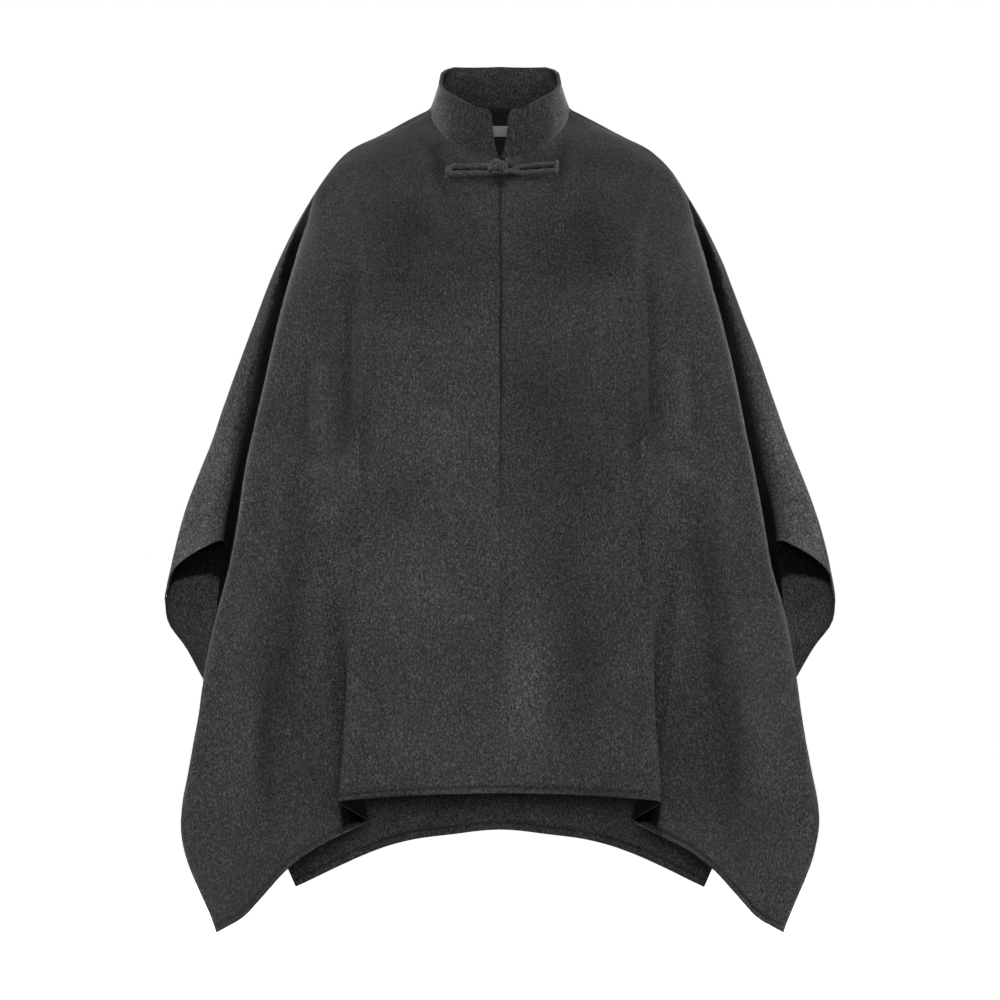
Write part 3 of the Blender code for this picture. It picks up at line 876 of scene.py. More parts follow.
hemLook = {
    "stitch in": 7.5,  # from the edge to the line of stitches
    "back stitch in": 10.0,
    "puff": 1.28,  # thickness beside the edge, to the cloth's own
    "dip": 0.62,  # and under the stitches
    "dip width": 1.1,
    "seam dip": 0.62,
    "seam width": 1.8,
    "calm": 14,  # no folds this near to a seam
    "stitch": 11.0,
    "stitch gap": 4.4,
    "stitch width": 2.0,
    "stitch height": 1.2,
    "stitch lift": 0.12,
    "skip start": 9,
    "skip end": 16,
    "shade": -0.55,  # painted shade in the groove along the stitches
    "shade width": 1.8,
}


def edgeThickness(distance, stitched):
    # the cloth's thickness beside a turned edge and its line of stitches, as a share of its own
    band = smooth(distance / 2.0) * (1 - past(distance, stitched - 2.3, 2.2))
    groove = bell(distance - stitched, hemLook["dip width"])
    return 1 + (hemLook["puff"] - 1) * band - (1 - hemLook["dip"]) * groove


def stitchShade(distance, stitched):
    return hemLook["shade"] * bell(distance - stitched, hemLook["shade width"])


def seamThickness(distance):
    return 1 - (1 - hemLook["seam dip"]) * bell(distance, hemLook["seam width"])


def insetLine(rows, normal, stitched=hemLook["stitch in"]):
    # the points at the stitches' distance from the first row, one for each column
    run = runDown(rows)
    line = []
    for column in range(rows.shape[1]):
        spot = [np.interp(stitched, run[:, column], rows[:, column, k]) for k in range(3)]
        nearest = int(np.argmin(abs(run[:, column] - stitched)))
        line.append((np.array(spot), normal[nearest, column]))
    return line


frontLook = {
    "edge over": 0.6,  # below the closure the wearer's right edge lies over the left one
    "edge under": -0.5,
    "edge reach": 7,
    "edge apart": 0.22,
    "apart reach": 4,
    # painted shade in the gap between the front edges
    "edge shade": -0.4,
    "shade reach": 1.6,
    "arch": 6.5,  # how far the arm opening's upper edge rounds up
    "arch rows": 26,
    "waves": ((95, 2.0, 0), (38, 0.5, 9)),  # length, height, place in the noise
    # painted light along the ridge before the arm, over the arm and along the arm opening's and the
    # side's edges; painted shade in the deep fold behind the ridge
    "rim": 1.0,
    "low rim": 0.35,
    "top rim": 1.6,
    "rim reach": 1.7,
    "behind rim": -0.92,
    "over arm": 1.0,
    "side rim": 1.0,
    "opening edge": 0.35,
    # painted shade in the long crease, between its layers and in its mouth at the hem, the tuck;
    # painted light along its edge, on its sheenless part and at the tuck's lip
    "in crease": -0.2,
    "crease edge": 0.12,
    "crease lift": 0.65,
    "between layers": 0.03,
    "in tuck": -0.9,
    "tuck edge": 1.6,
    "darkest": 0.04,
}
# How far down the front each begins, and the reach over which it grows or fades.
frontFades = {
    "sewn": (452, 30),
    "fold": (80, 100),
    "below top rim": (180, 160),
    "low rim": (415, 110),
    "rim ends": (700, 60),
    "low fold": (385, 110),
    "over arm": (250, 230),
    "side rim": (690, 60),
    "in crease": (330, 80),
    "in crease ends": (450, 110),
    "crease edge": (600, 60),
    "crease edge ends": (790, 60),
    "crease lift ends": (395, 150),
    "shaded in fold": (85, 40),
    "shaded in crease": (380, 190),
}


def fade(depth, name):
    return past(depth, *frontFades[name])


def bendColumns(line):
    # the first and last column of the front's bend at one of its lines
    column = frontCut["edge steps"] + frontCut["placket steps"]
    for rows, _, _, _, bendSteps, legSteps in frontCut["bends"]:
        column += legSteps
        if rows is line:
            return column, column + bendSteps
        column += bendSteps


crease, creaseEnd = bendColumns(frontCrease)
tuckTurn = bendColumns(frontTuckIn)[1]
tuck = bendColumns(frontTuckOut)[1]
ridge = bendColumns(frontRidge)[1]
sideColumn = bendColumns(frontHollow)[0]  # from here on a front reaches only to the arm opening


def archOpening(rows, openRow):
    across = (np.arange(rows.shape[1]) - sideColumn) / (rows.shape[1] - 1 - sideColumn)
    arch = np.sin(math.pi * np.clip(across, 0, 1)) ** 0.8 * frontLook["arch"]
    grown = past(np.arange(len(rows)), openRow - frontLook["arch rows"], frontLook["arch rows"])
    lifted = rows.copy()
    lifted[..., 2] += grown[:, None] * arch
    return lifted


def foldShade(depth, openRow):
    # painted light and shade at the deep fold between the ridge and the arm: a pale rim, then dark,
    # then paler over the arm
    column = np.arange(depth.shape[1])
    rim = bell(column - ridge + 2.2, frontLook["rim reach"]) * (1 - fade(depth, "rim ends"))
    rim = rim * mix(frontLook["rim"], frontLook["low rim"], fade(depth, "low rim"))
    rim = rim * mix(frontLook["top rim"], 1, fade(depth, "below top rim"))
    low = fade(depth, "low fold")
    dark = past(column, ridge - 0.5, 2) * (1 - past(column, sideColumn + 4 - 5 * low, 13 - 5 * low))
    dark = dark * mix(0.94, 1, low) * frontLook["behind rim"]
    arm = past(column, sideColumn + 4, 9) * fade(depth, "over arm") * frontLook["over arm"]
    above = 1 - past(np.arange(len(depth))[:, None], openRow + 5, 8)
    return fade(depth, "fold") * (rim + above * (dark + arm))


def creaseShade(depth, fromHem):
    # painted shade and light at the long crease: it darkens inwards, is paler along its edge low
    # down, and is black in its mouth
    column = np.arange(depth.shape[1])
    mouth = past(column, creaseEnd, 2) * (1 - past(column, tuck + 7, 2))
    lip = past(fromHem, 1.2 + 6 * past(column, tuck - 2, 3), 3)
    shade = frontLook["in tuck"] * mouth * lip * (1 - past(fromHem, 30, 25))
    shade += frontLook["tuck edge"] * mouth * (fromHem < 1.5)
    inward = past(column, crease + 1, 5) * (1 - past(column, tuckTurn - 3, 6))
    inward = inward * fade(depth, "in crease") * (1 - fade(depth, "in crease ends"))
    edge = bell(column - (crease + creaseEnd) / 2, 3)
    edge = edge * fade(depth, "crease edge") * (1 - fade(depth, "crease edge ends"))
    return shade + frontLook["in crease"] * inward + frontLook["crease edge"] * edge


def shadedFoldMasks(depth, openRow, seed):
    # painted shade: the sheenless wool goes on the wall of the fold before the arm, and in the long
    # crease from a point downwards, with a ragged edge
    column = np.arange(depth.shape[1])
    ragged = np.random.default_rng(seed).random(depth.shape)
    above = 1 - past(np.arange(len(depth))[:, None], openRow + 8, 8)
    wall = past(column, ridge - 2, 2) * (1 - past(column, sideColumn + 7, 4))
    wall = wall * fade(depth, "shaded in fold") * above
    wide = fade(depth, "shaded in crease")
    start = crease + 8
    pleat = (column > start - 5 * wide + ragged) & (wide > 0)
    pleat = pleat & (column < start + (tuck - crease - 4) * wide - ragged)
    return wall > ragged, pleat


def makeFront(name, side, patches, sizes, seed):
    rows, openRow = panelRows(frontRow)
    rows = closeRowsAtHem(rows, openRow, sideColumn + 1)
    kept = np.ones(rows.shape[:2], bool)
    kept[openRow + 1 :, sideColumn + 1 :] = False
    normal = outwards(rows, False)
    height, napAndShade = foldHeights(rows, frontFolds, sizes)
    napAndShade += foldHeights(rows, loopShades if side < 0 else tabShades, (1.0,))[1]
    napAndShade += patchShades(rows, patches)
    for length, most, place in frontLook["waves"]:
        height += waves(rows, length, most, seed + place)
    fromCentre = runFromLeft(rows)
    fromTop = runDown(rows)
    fromHem = np.full(rows.shape[:2], farOff)
    fromHem[:, : sideColumn + 1] = runFromEdge(rows[:, : sideColumn + 1])
    fromHem[: openRow + 1, sideColumn + 1 :] = runFromEdge(rows[: openRow + 1, sideColumn + 1 :])
    toSeam = np.full(rows.shape[:2], farOff)
    toSeam[: openRow + 1] = runFromRight(rows[: openRow + 1])
    height *= smooth(np.minimum(fromTop, toSeam) / hemLook["calm"])
    # the front opens from the neck down to where it is sewn
    opens = 1 - fade(-rows[..., 2], "sewn")
    beside = bell(fromCentre, frontLook["edge reach"]) * opens
    height += frontLook["edge over" if side < 0 else "edge under"] * beside
    rows = rows + normal * height[..., None]
    rows[..., 0] -= frontLook["edge apart"] * opens * bell(fromCentre, frontLook["apart reach"])
    napAndShade += frontLook["edge shade"] * opens * bell(fromCentre, frontLook["shade reach"])
    rows = archOpening(rows, openRow)
    depth = -rows[..., 2]
    column = np.arange(rows.shape[1])
    turned = np.where(column <= sideColumn, fromHem, farOff)
    thickness = edgeThickness(turned, hemLook["stitch in"])
    thickness *= seamThickness(toSeam) * seamThickness(fromCentre) * seamThickness(fromTop)
    napAndShade += stitchShade(turned, hemLook["stitch in"])
    napAndShade += foldShade(depth, openRow) + creaseShade(depth, fromHem)
    # painted light along the arm opening's edge and down the side edge
    napAndShade += frontLook["opening edge"] * bell(fromHem, 4) * (column > sideColumn)
    napAndShade += frontLook["side rim"] * bell(column - sideColumn, 1.5) * fade(depth, "side rim")
    wall, pleat = shadedFoldMasks(depth, openRow, seed)
    # painted light on the sheenless part of the crease, fading out lower down
    napAndShade += frontLook["crease lift"] * pleat * (1 - fade(depth, "crease lift ends"))
    # between the layers of the long crease no light falls
    layers = past(column, crease - 2, 4) * (1 - past(column, tuck, 8))
    inside = 1 + (frontLook["between layers"] - 1) * layers * np.ones(rows.shape[:2])
    if side > 0:
        rows, normal = mirrored(rows), mirrored(normal)
    piece = clothObject(
        name, rows, thickness * clothWall["wall"] / clothWall["thickest"],
        np.maximum(1 + napAndShade, frontLook["darkest"]), inside, side > 0, kept, clothWall["thickest"],
        clothWall["edge"], woolInside, wall | pleat,
    )
    hem = insetLine(rows[:, : sideColumn + 1][::-1], normal[:, : sideColumn + 1][::-1])
    print(name, "cloth area", round(clothArea(rows, kept), 4))
    return piece, [hem[: crease + 8], hem[tuck:]]  # no stitches show within the crease


backLook = {
    "waves": ((110, 2.2, 31), (40, 0.5, 37)),
    "sizes": (1.0, 0.9, 1.1),
    "neck inside": 0.36,
    "arm inside": 0.5,  # painted light: paler where it shows below the arm
    "arm shadow": (-376, -679, 10, 18, -0.3),
}


def makeBack(name):
    rows, openRow = panelRows(backRow)
    rows = closeRowsAtHem(rows, openRow, rows.shape[1])
    kept = np.ones(rows.shape[:2], bool)
    normal = outwards(rows, True)
    height, napAndShade = foldHeights(rows, backFolds, backLook["sizes"])
    napAndShade += patchShades(rows, backPatches)
    for length, most, place in backLook["waves"]:
        height += waves(rows, length, most, place)
    fromEdge = np.minimum(runFromLeft(rows), runFromRight(rows))
    fromTop = runDown(rows)
    fromHem = runFromEdge(rows)
    sewn = (np.arange(len(rows)) <= openRow)[:, None]
    height *= smooth(np.where(sewn, np.minimum(fromTop, fromEdge), fromTop) / hemLook["calm"])
    rows = rows + normal * height[..., None]
    depth = -rows[..., 2]
    stitched = hemLook["back stitch in"]
    thickness = edgeThickness(fromHem, stitched) * seamThickness(fromTop)
    thickness *= np.where(sewn, seamThickness(fromEdge), 1.0)
    # painted shade along the hem's stitches
    stitchGrooveShade = stitchShade(fromHem, stitched)
    belowArm = past(abs(rows[..., 0]), 290, 50) * past(depth, 540, 60)
    inside = (1 + stitchGrooveShade) * mix(backLook["neck inside"], 1, past(depth, 60, 110))
    inside *= 1 + backLook["arm inside"] * belowArm + patchShades(rows, [backLook["arm shadow"]])
    piece = clothObject(
        name, rows, thickness * clothWall["wall"] / clothWall["thickest"], 1 + napAndShade + stitchGrooveShade,
        inside, True, kept, clothWall["thickest"], clothWall["edge"], woolInside,
    )
    print(name, "cloth area", round(clothArea(rows, kept), 4))
    return piece, [insetLine(rows[::-1], normal[::-1], stitched)]


frontRight, rightLines = makeFront("frontRightCloth", -1, frontPatches, (1.0, 1.1, 0.9, 1.0), 3)
frontLeft, leftLines = makeFront("frontLeftCloth", 1, otherPatches, (1.1, 0.9, 1.0), 14)
back, backLines = makeBack("backCloth")
print("fronts and back made")


collarLook = {
    # soft dents: angle from the centre front, share of the way up, reach in degrees and up, out
    "dents": (
        (38, 0.45, 13, 0.3, -1.2),
        (62, 0.6, 12, 0.35, 1.0),
        (84, 0.3, 12, 0.3, -1.1),
        (140, 0.5, 22, 0.4, -1.4),
    ),
    "dents from": 0.15,
    "roll": 1.2,  # how far the top edge rolls out
    "roll from": 0.75,
    "edge puff": 0.4,
    "puff reach": 4.5,
    # painted shade on the collar's front and painted light on its sides
    "front shade": 0.78,
    "side shade": 1.75,
    # painted shade low on its inside and painted light high up
    "inside low": 0.9,
    "inside high": 1.35,
    "inside corner": (108, 13, -0.85),  # painted shade where it turns, under the top edge: angle, reach, shade
}


def collarColumn(angle):
    front = angle <= 90
    base = mirrored(neckPoint(angle if front else 180 - angle, front))
    across = math.cos(math.radians(min(angle, 90)))
    foot = base + collarLean(base) * (neckCut["stand"] + collarCut["gap"])
    outward = np.array((math.sin(math.radians(angle)), -math.cos(math.radians(angle)), 0))
    column = []
    for row in range(collarCut["rows"] + 1):
        up = row / collarCut["rows"]
        point = foot + (collarTop(angle) - foot) * up
        openHalf = collarCut["open"] * up ** collarCut["open power"] + armSeamCut["gap"] / 2
        point[0] += openHalf * across
        if angle < 90:
            into = max(0.0, collarCut["corner"] - (point[0] - openHalf)) * up**3
            point[2] -= collarCut["corner"] - math.sqrt(collarCut["corner"] ** 2 - into**2)
        out = collarLook["roll"] * past(up, collarLook["roll from"], 1 - collarLook["roll from"])
        for at, high, wide, tall, depth in collarLook["dents"]:
            out += depth * bell(angle - at, wide) * bell(up - high, tall)
        column.append(point + outward * out * smooth(up / collarLook["dents from"]))
    return column


def makeCollar(name):
    angles = np.linspace(0, 180, collarCut["columns"] + 1)
    angles = 180 * (0.85 * angles / 180 + 0.15 * (angles / 180) ** 2)
    half = np.array([collarColumn(angle) for angle in angles])
    rows = np.concatenate([mirrored(half), half[:-1][::-1]]).transpose(1, 0, 2)[::-1]
    kept = np.ones(rows.shape[:2], bool)
    fromTop = runDown(rows)
    fromSeam = runFromEdge(rows)
    puff = collarLook["edge puff"] * bell(fromTop, collarLook["puff reach"])
    thickness = seamThickness(fromSeam) * (1 + puff)
    # painted light along its sides
    sides = past(abs(rows[..., 0]), 52, 26) * past(-rows[..., 1], -50, 40)
    napAndShade = mix(collarLook["front shade"], collarLook["side shade"], sides)
    up = fromSeam / (fromSeam + fromTop)
    inside = mix(collarLook["inside low"], collarLook["inside high"], smooth(up))
    at, reach, shade = collarLook["inside corner"]
    around = np.concatenate([angles, angles[:-1][::-1]])
    inside = inside * (1 + shade * bell(around - at, reach) * past(up, 0.55, 0.3))
    most = 1 + collarLook["edge puff"]
    piece = clothObject(
        name, rows, thickness / most, napAndShade, inside, False, kept, clothWall["collar"] * most,
        clothWall["collar edge"], woolInside,
    )
    print(name, "cloth area", round(clothArea(rows, kept), 4))
    return piece


collar = makeCollar("collarCloth")
print("collar made")


def addStitch(stitches, centre, along, out, length):
    made = bmesh.ops.create_uvsphere(stitches, u_segments=8, v_segments=5, radius=0.5)
    turn = Matrix((along.cross(out).normalized(), out, along)).transposed().to_4x4()
    sides = (hemLook["stitch width"] * mm, hemLook["stitch height"] * mm, length * mm, 1)
    place = Matrix.Translation(centre) @ turn @ Matrix.Diagonal(sides)
    bmesh.ops.transform(stitches, matrix=place, verts=made["verts"])


def sewLine(stitches, line):
    spots = np.array([spot for spot, _ in line])
    normals = np.array([normal for _, normal in line])
    run = np.concatenate([[0], np.cumsum(np.linalg.norm(np.diff(spots, axis=0), axis=1))])
    lift = clothWall["wall"] / 2 * hemLook["dip"] + hemLook["stitch lift"]
    at, count = hemLook["skip start"], 0
    while at < run[-1] - hemLook["skip end"]:
        length = hemLook["stitch"] * (0.85 + 0.3 * ((count * 7) % 5) / 4)
        ends = []
        for place in (at, at + length / 2, at + length):
            ends.append(Vector([np.interp(place, run, spots[:, k]) for k in range(3)]))
        out = Vector([np.interp(at + length / 2, run, normals[:, k]) for k in range(3)])
        out.normalize()
        along = (ends[2] - ends[0]).normalized()
        for face in (1, -1):
            addStitch(stitches, (ends[1] + out * face * lift) * mm, along, out, length)
        at += length + hemLook["stitch gap"] * (0.8 + 0.4 * ((count * 3) % 4) / 3)
        count += 1


def makeStitches(name, lines):
    mesh = bpy.data.meshes.new(name)
    stitches = bmesh.new()
    for line in lines:
        sewLine(stitches, line)
    stitches.to_mesh(mesh)
    stitches.free()
    mesh.shade_smooth()
    mesh.materials.append(thread)
    return linked(name, mesh)


rightStitches = makeStitches("frontRightStitches", rightLines)
leftStitches = makeStitches("frontLeftStitches", leftLines)
backStitches = makeStitches("backStitches", backLines)
print("hems stitched")


frogLook = {
    "height": -86,
    "cord": 4.2,  # radius, as that of the bars is
    "run gap": 0.4,  # between the cord's two runs
    "lift": 0.2,
    "loop start": 8.5,
    "loop reach": 66,
    "tab start": 9,
    "tab reach": 69,
    "tab rise": 5,
    "bar room": 4,
    # the bars at the far ends: in from the end, lean, up, half height, radius, radius at its ends
    "loop bar": (2.4, 0.2, -0.8, 7.6, 2.5, 2.1),
    "tab bar": (-1.5, 0.25, -0.6, 8.2, 2.7, 2.322),
    "loop bar lift": 1.0,
    "tab bar lift": 1.4,
    "tab upper lift": -1.2,  # its upper run sinks into the lower one
}
knotLook = {
    "drop": 2.5,
    "size": (12.4, 9.9, 13.2),
    "off cloth": 0.8,
    "strand": 3.5,
    "leads": 3,
    "bights": 4,
    "reach": 58,
    "weave": 0.17,
    "turn": (0.35, 0.5, 0.25),
    "steps": 168,
    "core": 0.94,
    "shadow": 3.5,  # how far below its middle the painted shadow begins
}
# Wool cord is never quite round: length and height of its roughness.
cordRough = ((3.2, 0.42), (1.3, 0.3))


def treeOf(*pieces):
    graph = bpy.context.evaluated_depsgraph_get()
    points, faces = [], []
    for piece in pieces:
        mesh = piece.evaluated_get(graph).to_mesh()
        faces += [[i + len(points) for i in face.vertices] for face in mesh.polygons]
        points += [vert.co.copy() for vert in mesh.vertices]
    return BVHTree.FromPolygons(points, faces)


def onFronts(tree, x, z):
    beside = math.copysign(max(abs(x), 2.0), x or 1.0) * mm
    hit, normal, _, _ = tree.ray_cast(Vector((beside, -1, z * mm)), Vector((0, 1, 0)))
    return Vector((x * mm, hit.y, z * mm)), normal


def cordMesh(name, paths, closed=False):
    # round cords along paths; a point is its place in metres and its radius in mm
    curve = bpy.data.curves.new(name, "CURVE")
    curve.dimensions = "3D"
    curve.bevel_depth = mm
    curve.bevel_resolution = 4
    curve.use_fill_caps = True
    curve.resolution_u = 3 if closed else 8
    for path in paths:
        spline = curve.splines.new("NURBS")
        spline.points.add(len(path) - 1)
        for point, (place, radius) in zip(spline.points, path):
            point.co = (*place, 1)
            point.radius = radius
        spline.order_u = 3
        spline.use_endpoint_u = not closed
        spline.use_cyclic_u = closed
    holder = linked(name, curve)
    bpy.context.view_layer.update()
    graph = bpy.context.evaluated_depsgraph_get()
    mesh = bpy.data.meshes.new_from_object(holder.evaluated_get(graph))
    bpy.data.objects.remove(holder)
    mesh.name = name
    return mesh


def cordPiece(name, mesh, shadow=None):
    for vert in mesh.vertices:
        rough = sum(noise.noise(vert.co / (length * mm)) * most for length, most in cordRough)
        vert.co += vert.normal * rough * mm
    mesh.materials.clear()
    mesh.materials.append(woolCord)
    heights = [vert.co.z for vert in mesh.vertices]
    middle = (max(heights) + min(heights)) / 2
    # painted light on the cords' tops, painted shade below, and on the knot a painted shadow under
    # its middle
    values = []
    for vert in mesh.vertices:
        under = smooth((middle - shadow * mm - vert.co.z) / (3 * mm)) if shadow else 0.0
        values.append(max(0.06, (1 + 0.4 * vert.normal.z) * (1 - 0.9 * under)))
    mesh.attributes.new("napAndShade", "FLOAT", "POINT").data.foreach_set("value", values)
    mesh.shade_smooth()
    return linked(name, mesh)


def laidCord(tree, route, lift=frogLook["lift"]):
    path = []
    for x, z, radius in route:
        surface, normal = onFronts(tree, x, z)
        path.append((surface + normal * (radius + lift) * mm, radius))
    return path


def barRoute(end, up, bar):
    # a small upright loop of the same cord holds the far end
    inwards, lean, rise, half, radius, endRadius = bar
    route = []
    for k in range(6):
        x = end + inwards + lean * (k - 2)
        route.append((x, up + rise + half * (k / 2.5 - 1), endRadius if k in (0, 5) else radius))
    return route


def makeLoop(name, tree):
    radius, up = frogLook["cord"], frogLook["height"]
    half = radius + frogLook["run gap"] / 2
    inner = frogLook["loop reach"] - frogLook["bar room"] - radius - half * 0.9
    upper, turn, lower = [], [], []
    for k in range(12):
        x = -mix(frogLook["loop start"], inner, k / 11)
        z = up + half + 0.35 * math.sin(k * 1.9)
        upper.append((x, z, radius * (1 + 0.03 * math.sin(k * 2.3))))
        z = up - half + 0.4 * math.sin(k * 1.4 + 1)
        lower.append((x, z, radius * (1 + 0.03 * math.sin(k * 1.7))))
    for k in range(1, 7):
        # the folded end is nearly square
        across, rise = math.sin(math.pi * k / 7), math.cos(math.pi * k / 7)
        rise = math.copysign(abs(rise) ** 0.75, rise)
        turn.append((-inner - half * 1.25 * across**0.6, up + half * 1.05 * rise, radius * 0.97))
    cord = laidCord(tree, upper + turn + lower[::-1])
    bar = barRoute(-frogLook["loop reach"], up, frogLook["loop bar"])
    return cordPiece(name, cordMesh(name, [cord, laidCord(tree, bar, frogLook["loop bar lift"])]))


def makeTab(name, tree):
    radius, reach = frogLook["cord"], frogLook["tab reach"]
    half = radius + frogLook["run gap"] / 2
    lower, upper = [], []
    for k in range(14):
        share = k / 13
        x = mix(frogLook["tab start"], reach - frogLook["bar room"], share)
        up = frogLook["height"] + frogLook["tab rise"] * share - 0.5
        apart = half * past(share, 0.02, 0.30)
        lower.append((x, up - 1.6 - apart * 0.75 + 0.3 * math.sin(k * 1.3), radius * 0.93))
        upper.append((x, up - 0.6 + apart * 1.15 + 0.3 * math.sin(k * 1.8), radius * 0.84))
    bar = barRoute(reach, frogLook["height"] + frogLook["tab rise"], frogLook["tab bar"])
    return cordPiece(name, cordMesh(name, [
        laidCord(tree, lower), laidCord(tree, upper, frogLook["tab upper lift"]),
        laidCord(tree, bar, frogLook["tab bar lift"]),
    ]))


def makeKnot(name, tree):
    surface, normal = onFronts(tree, 0, frogLook["height"] - knotLook["drop"])
    centre = surface + normal * (knotLook["size"][1] + knotLook["off cloth"]) * mm
    size = Vector([side - knotLook["strand"] for side in knotLook["size"]]) * mm
    pitch, roll, start = knotLook["turn"]
    turn = Matrix.Rotation(pitch, 3, "X") @ Matrix.Rotation(roll, 3, "Y")
    path = []
    for k in range(knotLook["steps"]):
        t = 2 * math.pi * k / knotLook["steps"]
        latitude = math.radians(knotLook["reach"]) * math.cos(knotLook["bights"] * t)
        longitude = knotLook["leads"] * t + start
        level = math.cos(latitude)
        out = 1 + knotLook["weave"] * math.sin(2 * knotLook["bights"] * t)
        ball = (level * math.cos(longitude), math.sin(latitude), level * math.sin(longitude))
        ball = turn @ (Vector(ball) * out)
        path.append((centre + Vector([ball[i] * size[i] for i in range(3)]), knotLook["strand"]))
    mesh = cordMesh(name, [path], closed=True)
    knot = bmesh.new()
    knot.from_mesh(mesh)
    core = bmesh.ops.create_icosphere(knot, subdivisions=3, radius=1.0)
    heart = Matrix.Translation(centre) @ Matrix.Diagonal((*(size * knotLook["core"]), 1))
    bmesh.ops.transform(knot, matrix=heart, verts=core["verts"])
    knot.to_mesh(mesh)
    knot.free()
    return cordPiece(name, mesh, knotLook["shadow"])


fronts = treeOf(frontRight, frontLeft)
frogLoop = makeLoop("frogLoopCord", fronts)
frogTab = makeTab("frogTabCord", fronts)
frogKnot = makeKnot("frogKnotWoven", fronts)
print("closure made")


labelLook = {
    "size": (52, 13),
    "top": -10.5,
    "wall": 0.7,
    "edge": 0.2,
    "lift": 0.45,
    "bow": 0.5,
    "columns": 40,
    "rows": 10,
}


def makeLabel(name, tree):
    width, height = labelLook["size"]
    rows = []
    for row in range(labelLook["rows"] + 1):
        down = row / labelLook["rows"]
        points = []
        for column in range(labelLook["columns"] + 1):
            across = 2 * column / labelLook["columns"] - 1
            x, z = width / 2 * across, labelLook["top"] - height * down
            hit, normal, _, _ = tree.ray_cast(Vector((x * mm, 0, z * mm)), Vector((0, 1, 0)))
            if normal.y > 0:
                normal = -normal
            off = labelLook["lift"] + labelLook["wall"] / 2
            off += labelLook["bow"] * (1 - across**4) * math.sin(math.pi * (0.1 + 0.8 * down))
            points.append(np.array(hit + normal * off * mm) / mm)
        rows.append(points)
    rows = np.array(rows)
    ones = np.ones(rows.shape[:2])
    piece = clothObject(
        name, rows, ones, ones, ones, True, ones > 0, labelLook["wall"], labelLook["edge"], satin,
    )
    piece.data.materials[0] = satin
    return piece


label = makeLabel("labelRibbon", treeOf(back))
print("label made")


for piece, node, slot in (
    (frontRight, "front_right_side", "wool"),
    (frontLeft, "front_left_side", "wool"),
    (back, "back", "wool"),
    (collar, "collar", "wool"),
    (frogLoop, "frog_loop", "wool_cord"),
    (frogTab, "frog_tab", "wool_cord"),
    (frogKnot, "frog_knot", "wool_cord"),
    (label, "label", "label_satin"),
    (rightStitches, None, "wool"),
    (leftStitches, None, "wool"),
    (backStitches, None, "wool"),
):
    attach(piece, "root")
    if node:
        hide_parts(node)


backPieces = (back, backStitches)
frontPieces = (frontRight, frontLeft, rightStitches, leftStitches)
upperPieces = frontPieces + (collar, frogLoop, frogTab, frogKnot)
studio = {
    "camera": (0, -4.0, -0.4875),
    "lens": 115.2,
    "floor": -1.42,
    "floor radius": 30.0,
    "floor colour": "#f2f2f0",
    "floor shade": "#eeeeec",
    "glow near": 0.12,  # the floor glows, brighter far off and less so round the garment; the glow is painted light that lights nothing else
    "glow far": 1.0,
    "glow reach": (1.1, 2.3),
    # name, place, aim, size across and high, watts, and what alone it lights, so that the back's
    # inside stays dark
    "lights": (
        ("keyBox", (0, -3.0, 1.35), (0, -0.1, -0.45), (0.30, 0.24), 60, ()),
        ("lowFill", (0, -2.3, -1.0), (0, 0, -0.6), (1.0, 0.5), 12, frontPieces),
        ("leftStrip", (-3.2, -0.8, -0.3), (0, 0, -0.45), (0.4, 1.8), 58, upperPieces),
        ("rightStrip", (3.2, -0.8, -0.3), (0, 0, -0.45), (0.4, 1.8), 58, upperPieces),
        ("leftRim", (-1.6, 3.2, -0.35), (0, 0, -0.45), (0.8, 1.6), 45, ()),
        ("rightRim", (1.6, 3.2, -0.35), (0, 0, -0.45), (0.8, 1.6), 45, ()),
        ("backBox", (0, 3.6, 0.3), (0, 0, -0.5), (1.6, 1.2), 26, ()),
        ("backFill", (0, 3.6, -0.4), (0, 0, -0.5), (1.6, 1.2), 18, backPieces),
    ),
    # a small spot under the front hem, on the inside of the back
    "hem spot": {
        "place": (0, -3.2, -0.44),
        "aim": (0, 0.16, -0.96),
        "watts": 275,
        "angle": 15,
        "blend": 0.35,
        "radius": 0.2,
    },
}


def makeCamera():
    camera = bpy.data.cameras.new("photoCamera")
    camera.sensor_width = 36
    camera.lens = studio["lens"]
    holder = linked("photoCamera", camera)
    holder.location = studio["camera"]
    holder.rotation_euler = (math.pi / 2, 0, 0)
    scene.camera = holder


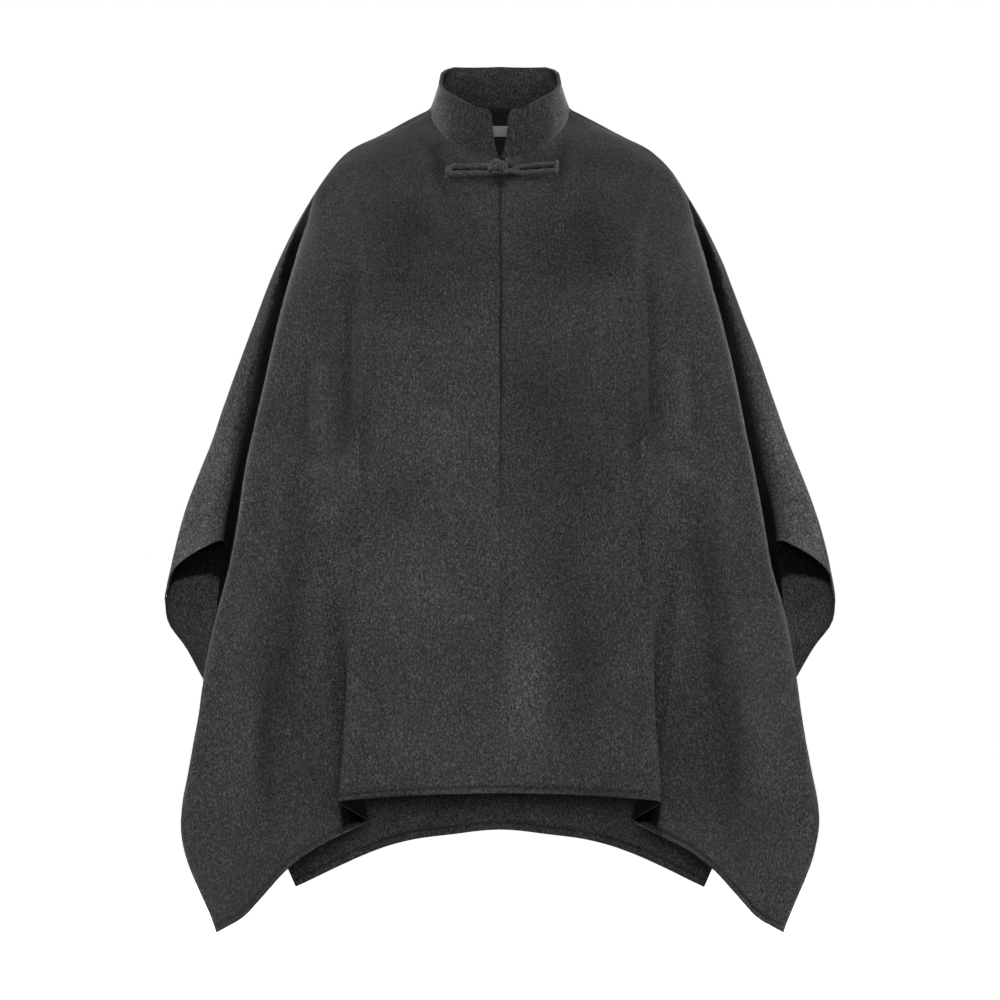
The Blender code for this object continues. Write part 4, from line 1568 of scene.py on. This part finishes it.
def makeFloor():
    mesh = bpy.data.meshes.new("studioFloor")
    disc = bmesh.new()
    bmesh.ops.create_circle(disc, cap_ends=True, segments=128, radius=studio["floor radius"])
    bmesh.ops.translate(disc, verts=disc.verts, vec=(0, 0, studio["floor"]))
    disc.to_mesh(mesh)
    disc.free()
    floor = linked("studioFloor", mesh)
    material, tree, shader = newMaterial("paleStudioFloorPainted")
    place = addNode(tree, "ShaderNodeTexCoord", {}).outputs["Object"]
    cloud = addNode(tree, "ShaderNodeTexNoise", {"Vector": place, "Scale": 1.5, "Detail": 3})
    ramp = addNode(tree, "ShaderNodeValToRGB", {"Fac": cloud.outputs[0]})
    setStops(ramp, [(0.3, studio["floor shade"]), (0.7, studio["floor colour"])])
    tree.links.new(ramp.outputs[0], shader.inputs["Base Color"])
    shader.inputs["Roughness"].default_value = 0.7
    shader.inputs["Emission Color"].default_value = linearColour("#ffffff")
    near, far = [math.hypot(reach, studio["floor"]) for reach in studio["glow reach"]]
    away = addNode(tree, "ShaderNodeVectorMath", {0: place}, operation="LENGTH").outputs["Value"]
    glow = addNode(tree, "ShaderNodeMapRange", {
        "Value": away, "From Min": near, "From Max": far, "To Min": studio["glow near"],
        "To Max": studio["glow far"],
    }, interpolation_type="SMOOTHSTEP")
    tree.links.new(glow.outputs[0], shader.inputs["Emission Strength"])
    mesh.materials.append(material)
    material.cycles.emission_sampling = "NONE"
    floor.visible_diffuse = False  # the floor throws no light up into the folds
    floor.visible_glossy = False


def placeLight(name, light, place, aim, pieces):
    holder = linked(name, light)
    holder.location = place
    holder.rotation_euler = (Vector(aim) - Vector(place)).to_track_quat("-Z", "Y").to_euler()
    if pieces:
        lit = bpy.data.collections.new(name + "Lights")
        for piece in pieces:
            lit.objects.link(piece)
        holder.light_linking.receiver_collection = lit
    return holder


def makeLights():
    for name, place, aim, (across, high), watts, pieces in studio["lights"]:
        light = bpy.data.lights.new(name, "AREA")
        light.shape = "RECTANGLE"
        light.size, light.size_y = across, high
        light.energy = watts
        placeLight(name, light, place, aim, pieces).visible_camera = False
    spot = studio["hem spot"]
    light = bpy.data.lights.new("hemSpot", "SPOT")
    light.energy = spot["watts"]
    light.spot_size = math.radians(spot["angle"])
    light.spot_blend = spot["blend"]
    light.shadow_soft_size = spot["radius"]
    placeLight("hemSpot", light, spot["place"], spot["aim"], backPieces)


def makeWorld():
    world = bpy.data.worlds.new("whiteStudio")
    world.use_nodes = True
    background = world.node_tree.nodes["Background"]
    background.inputs["Color"].default_value = (1, 1, 1, 1)
    background.inputs["Strength"].default_value = 1.0
    world.cycles_visibility.diffuse = False
    world.cycles_visibility.glossy = False
    scene.world = world


makeCamera()
makeFloor()
makeLights()
makeWorld()
scene.view_settings.view_transform = "Standard"
print("studio set")

bpy.context.view_layer.update()
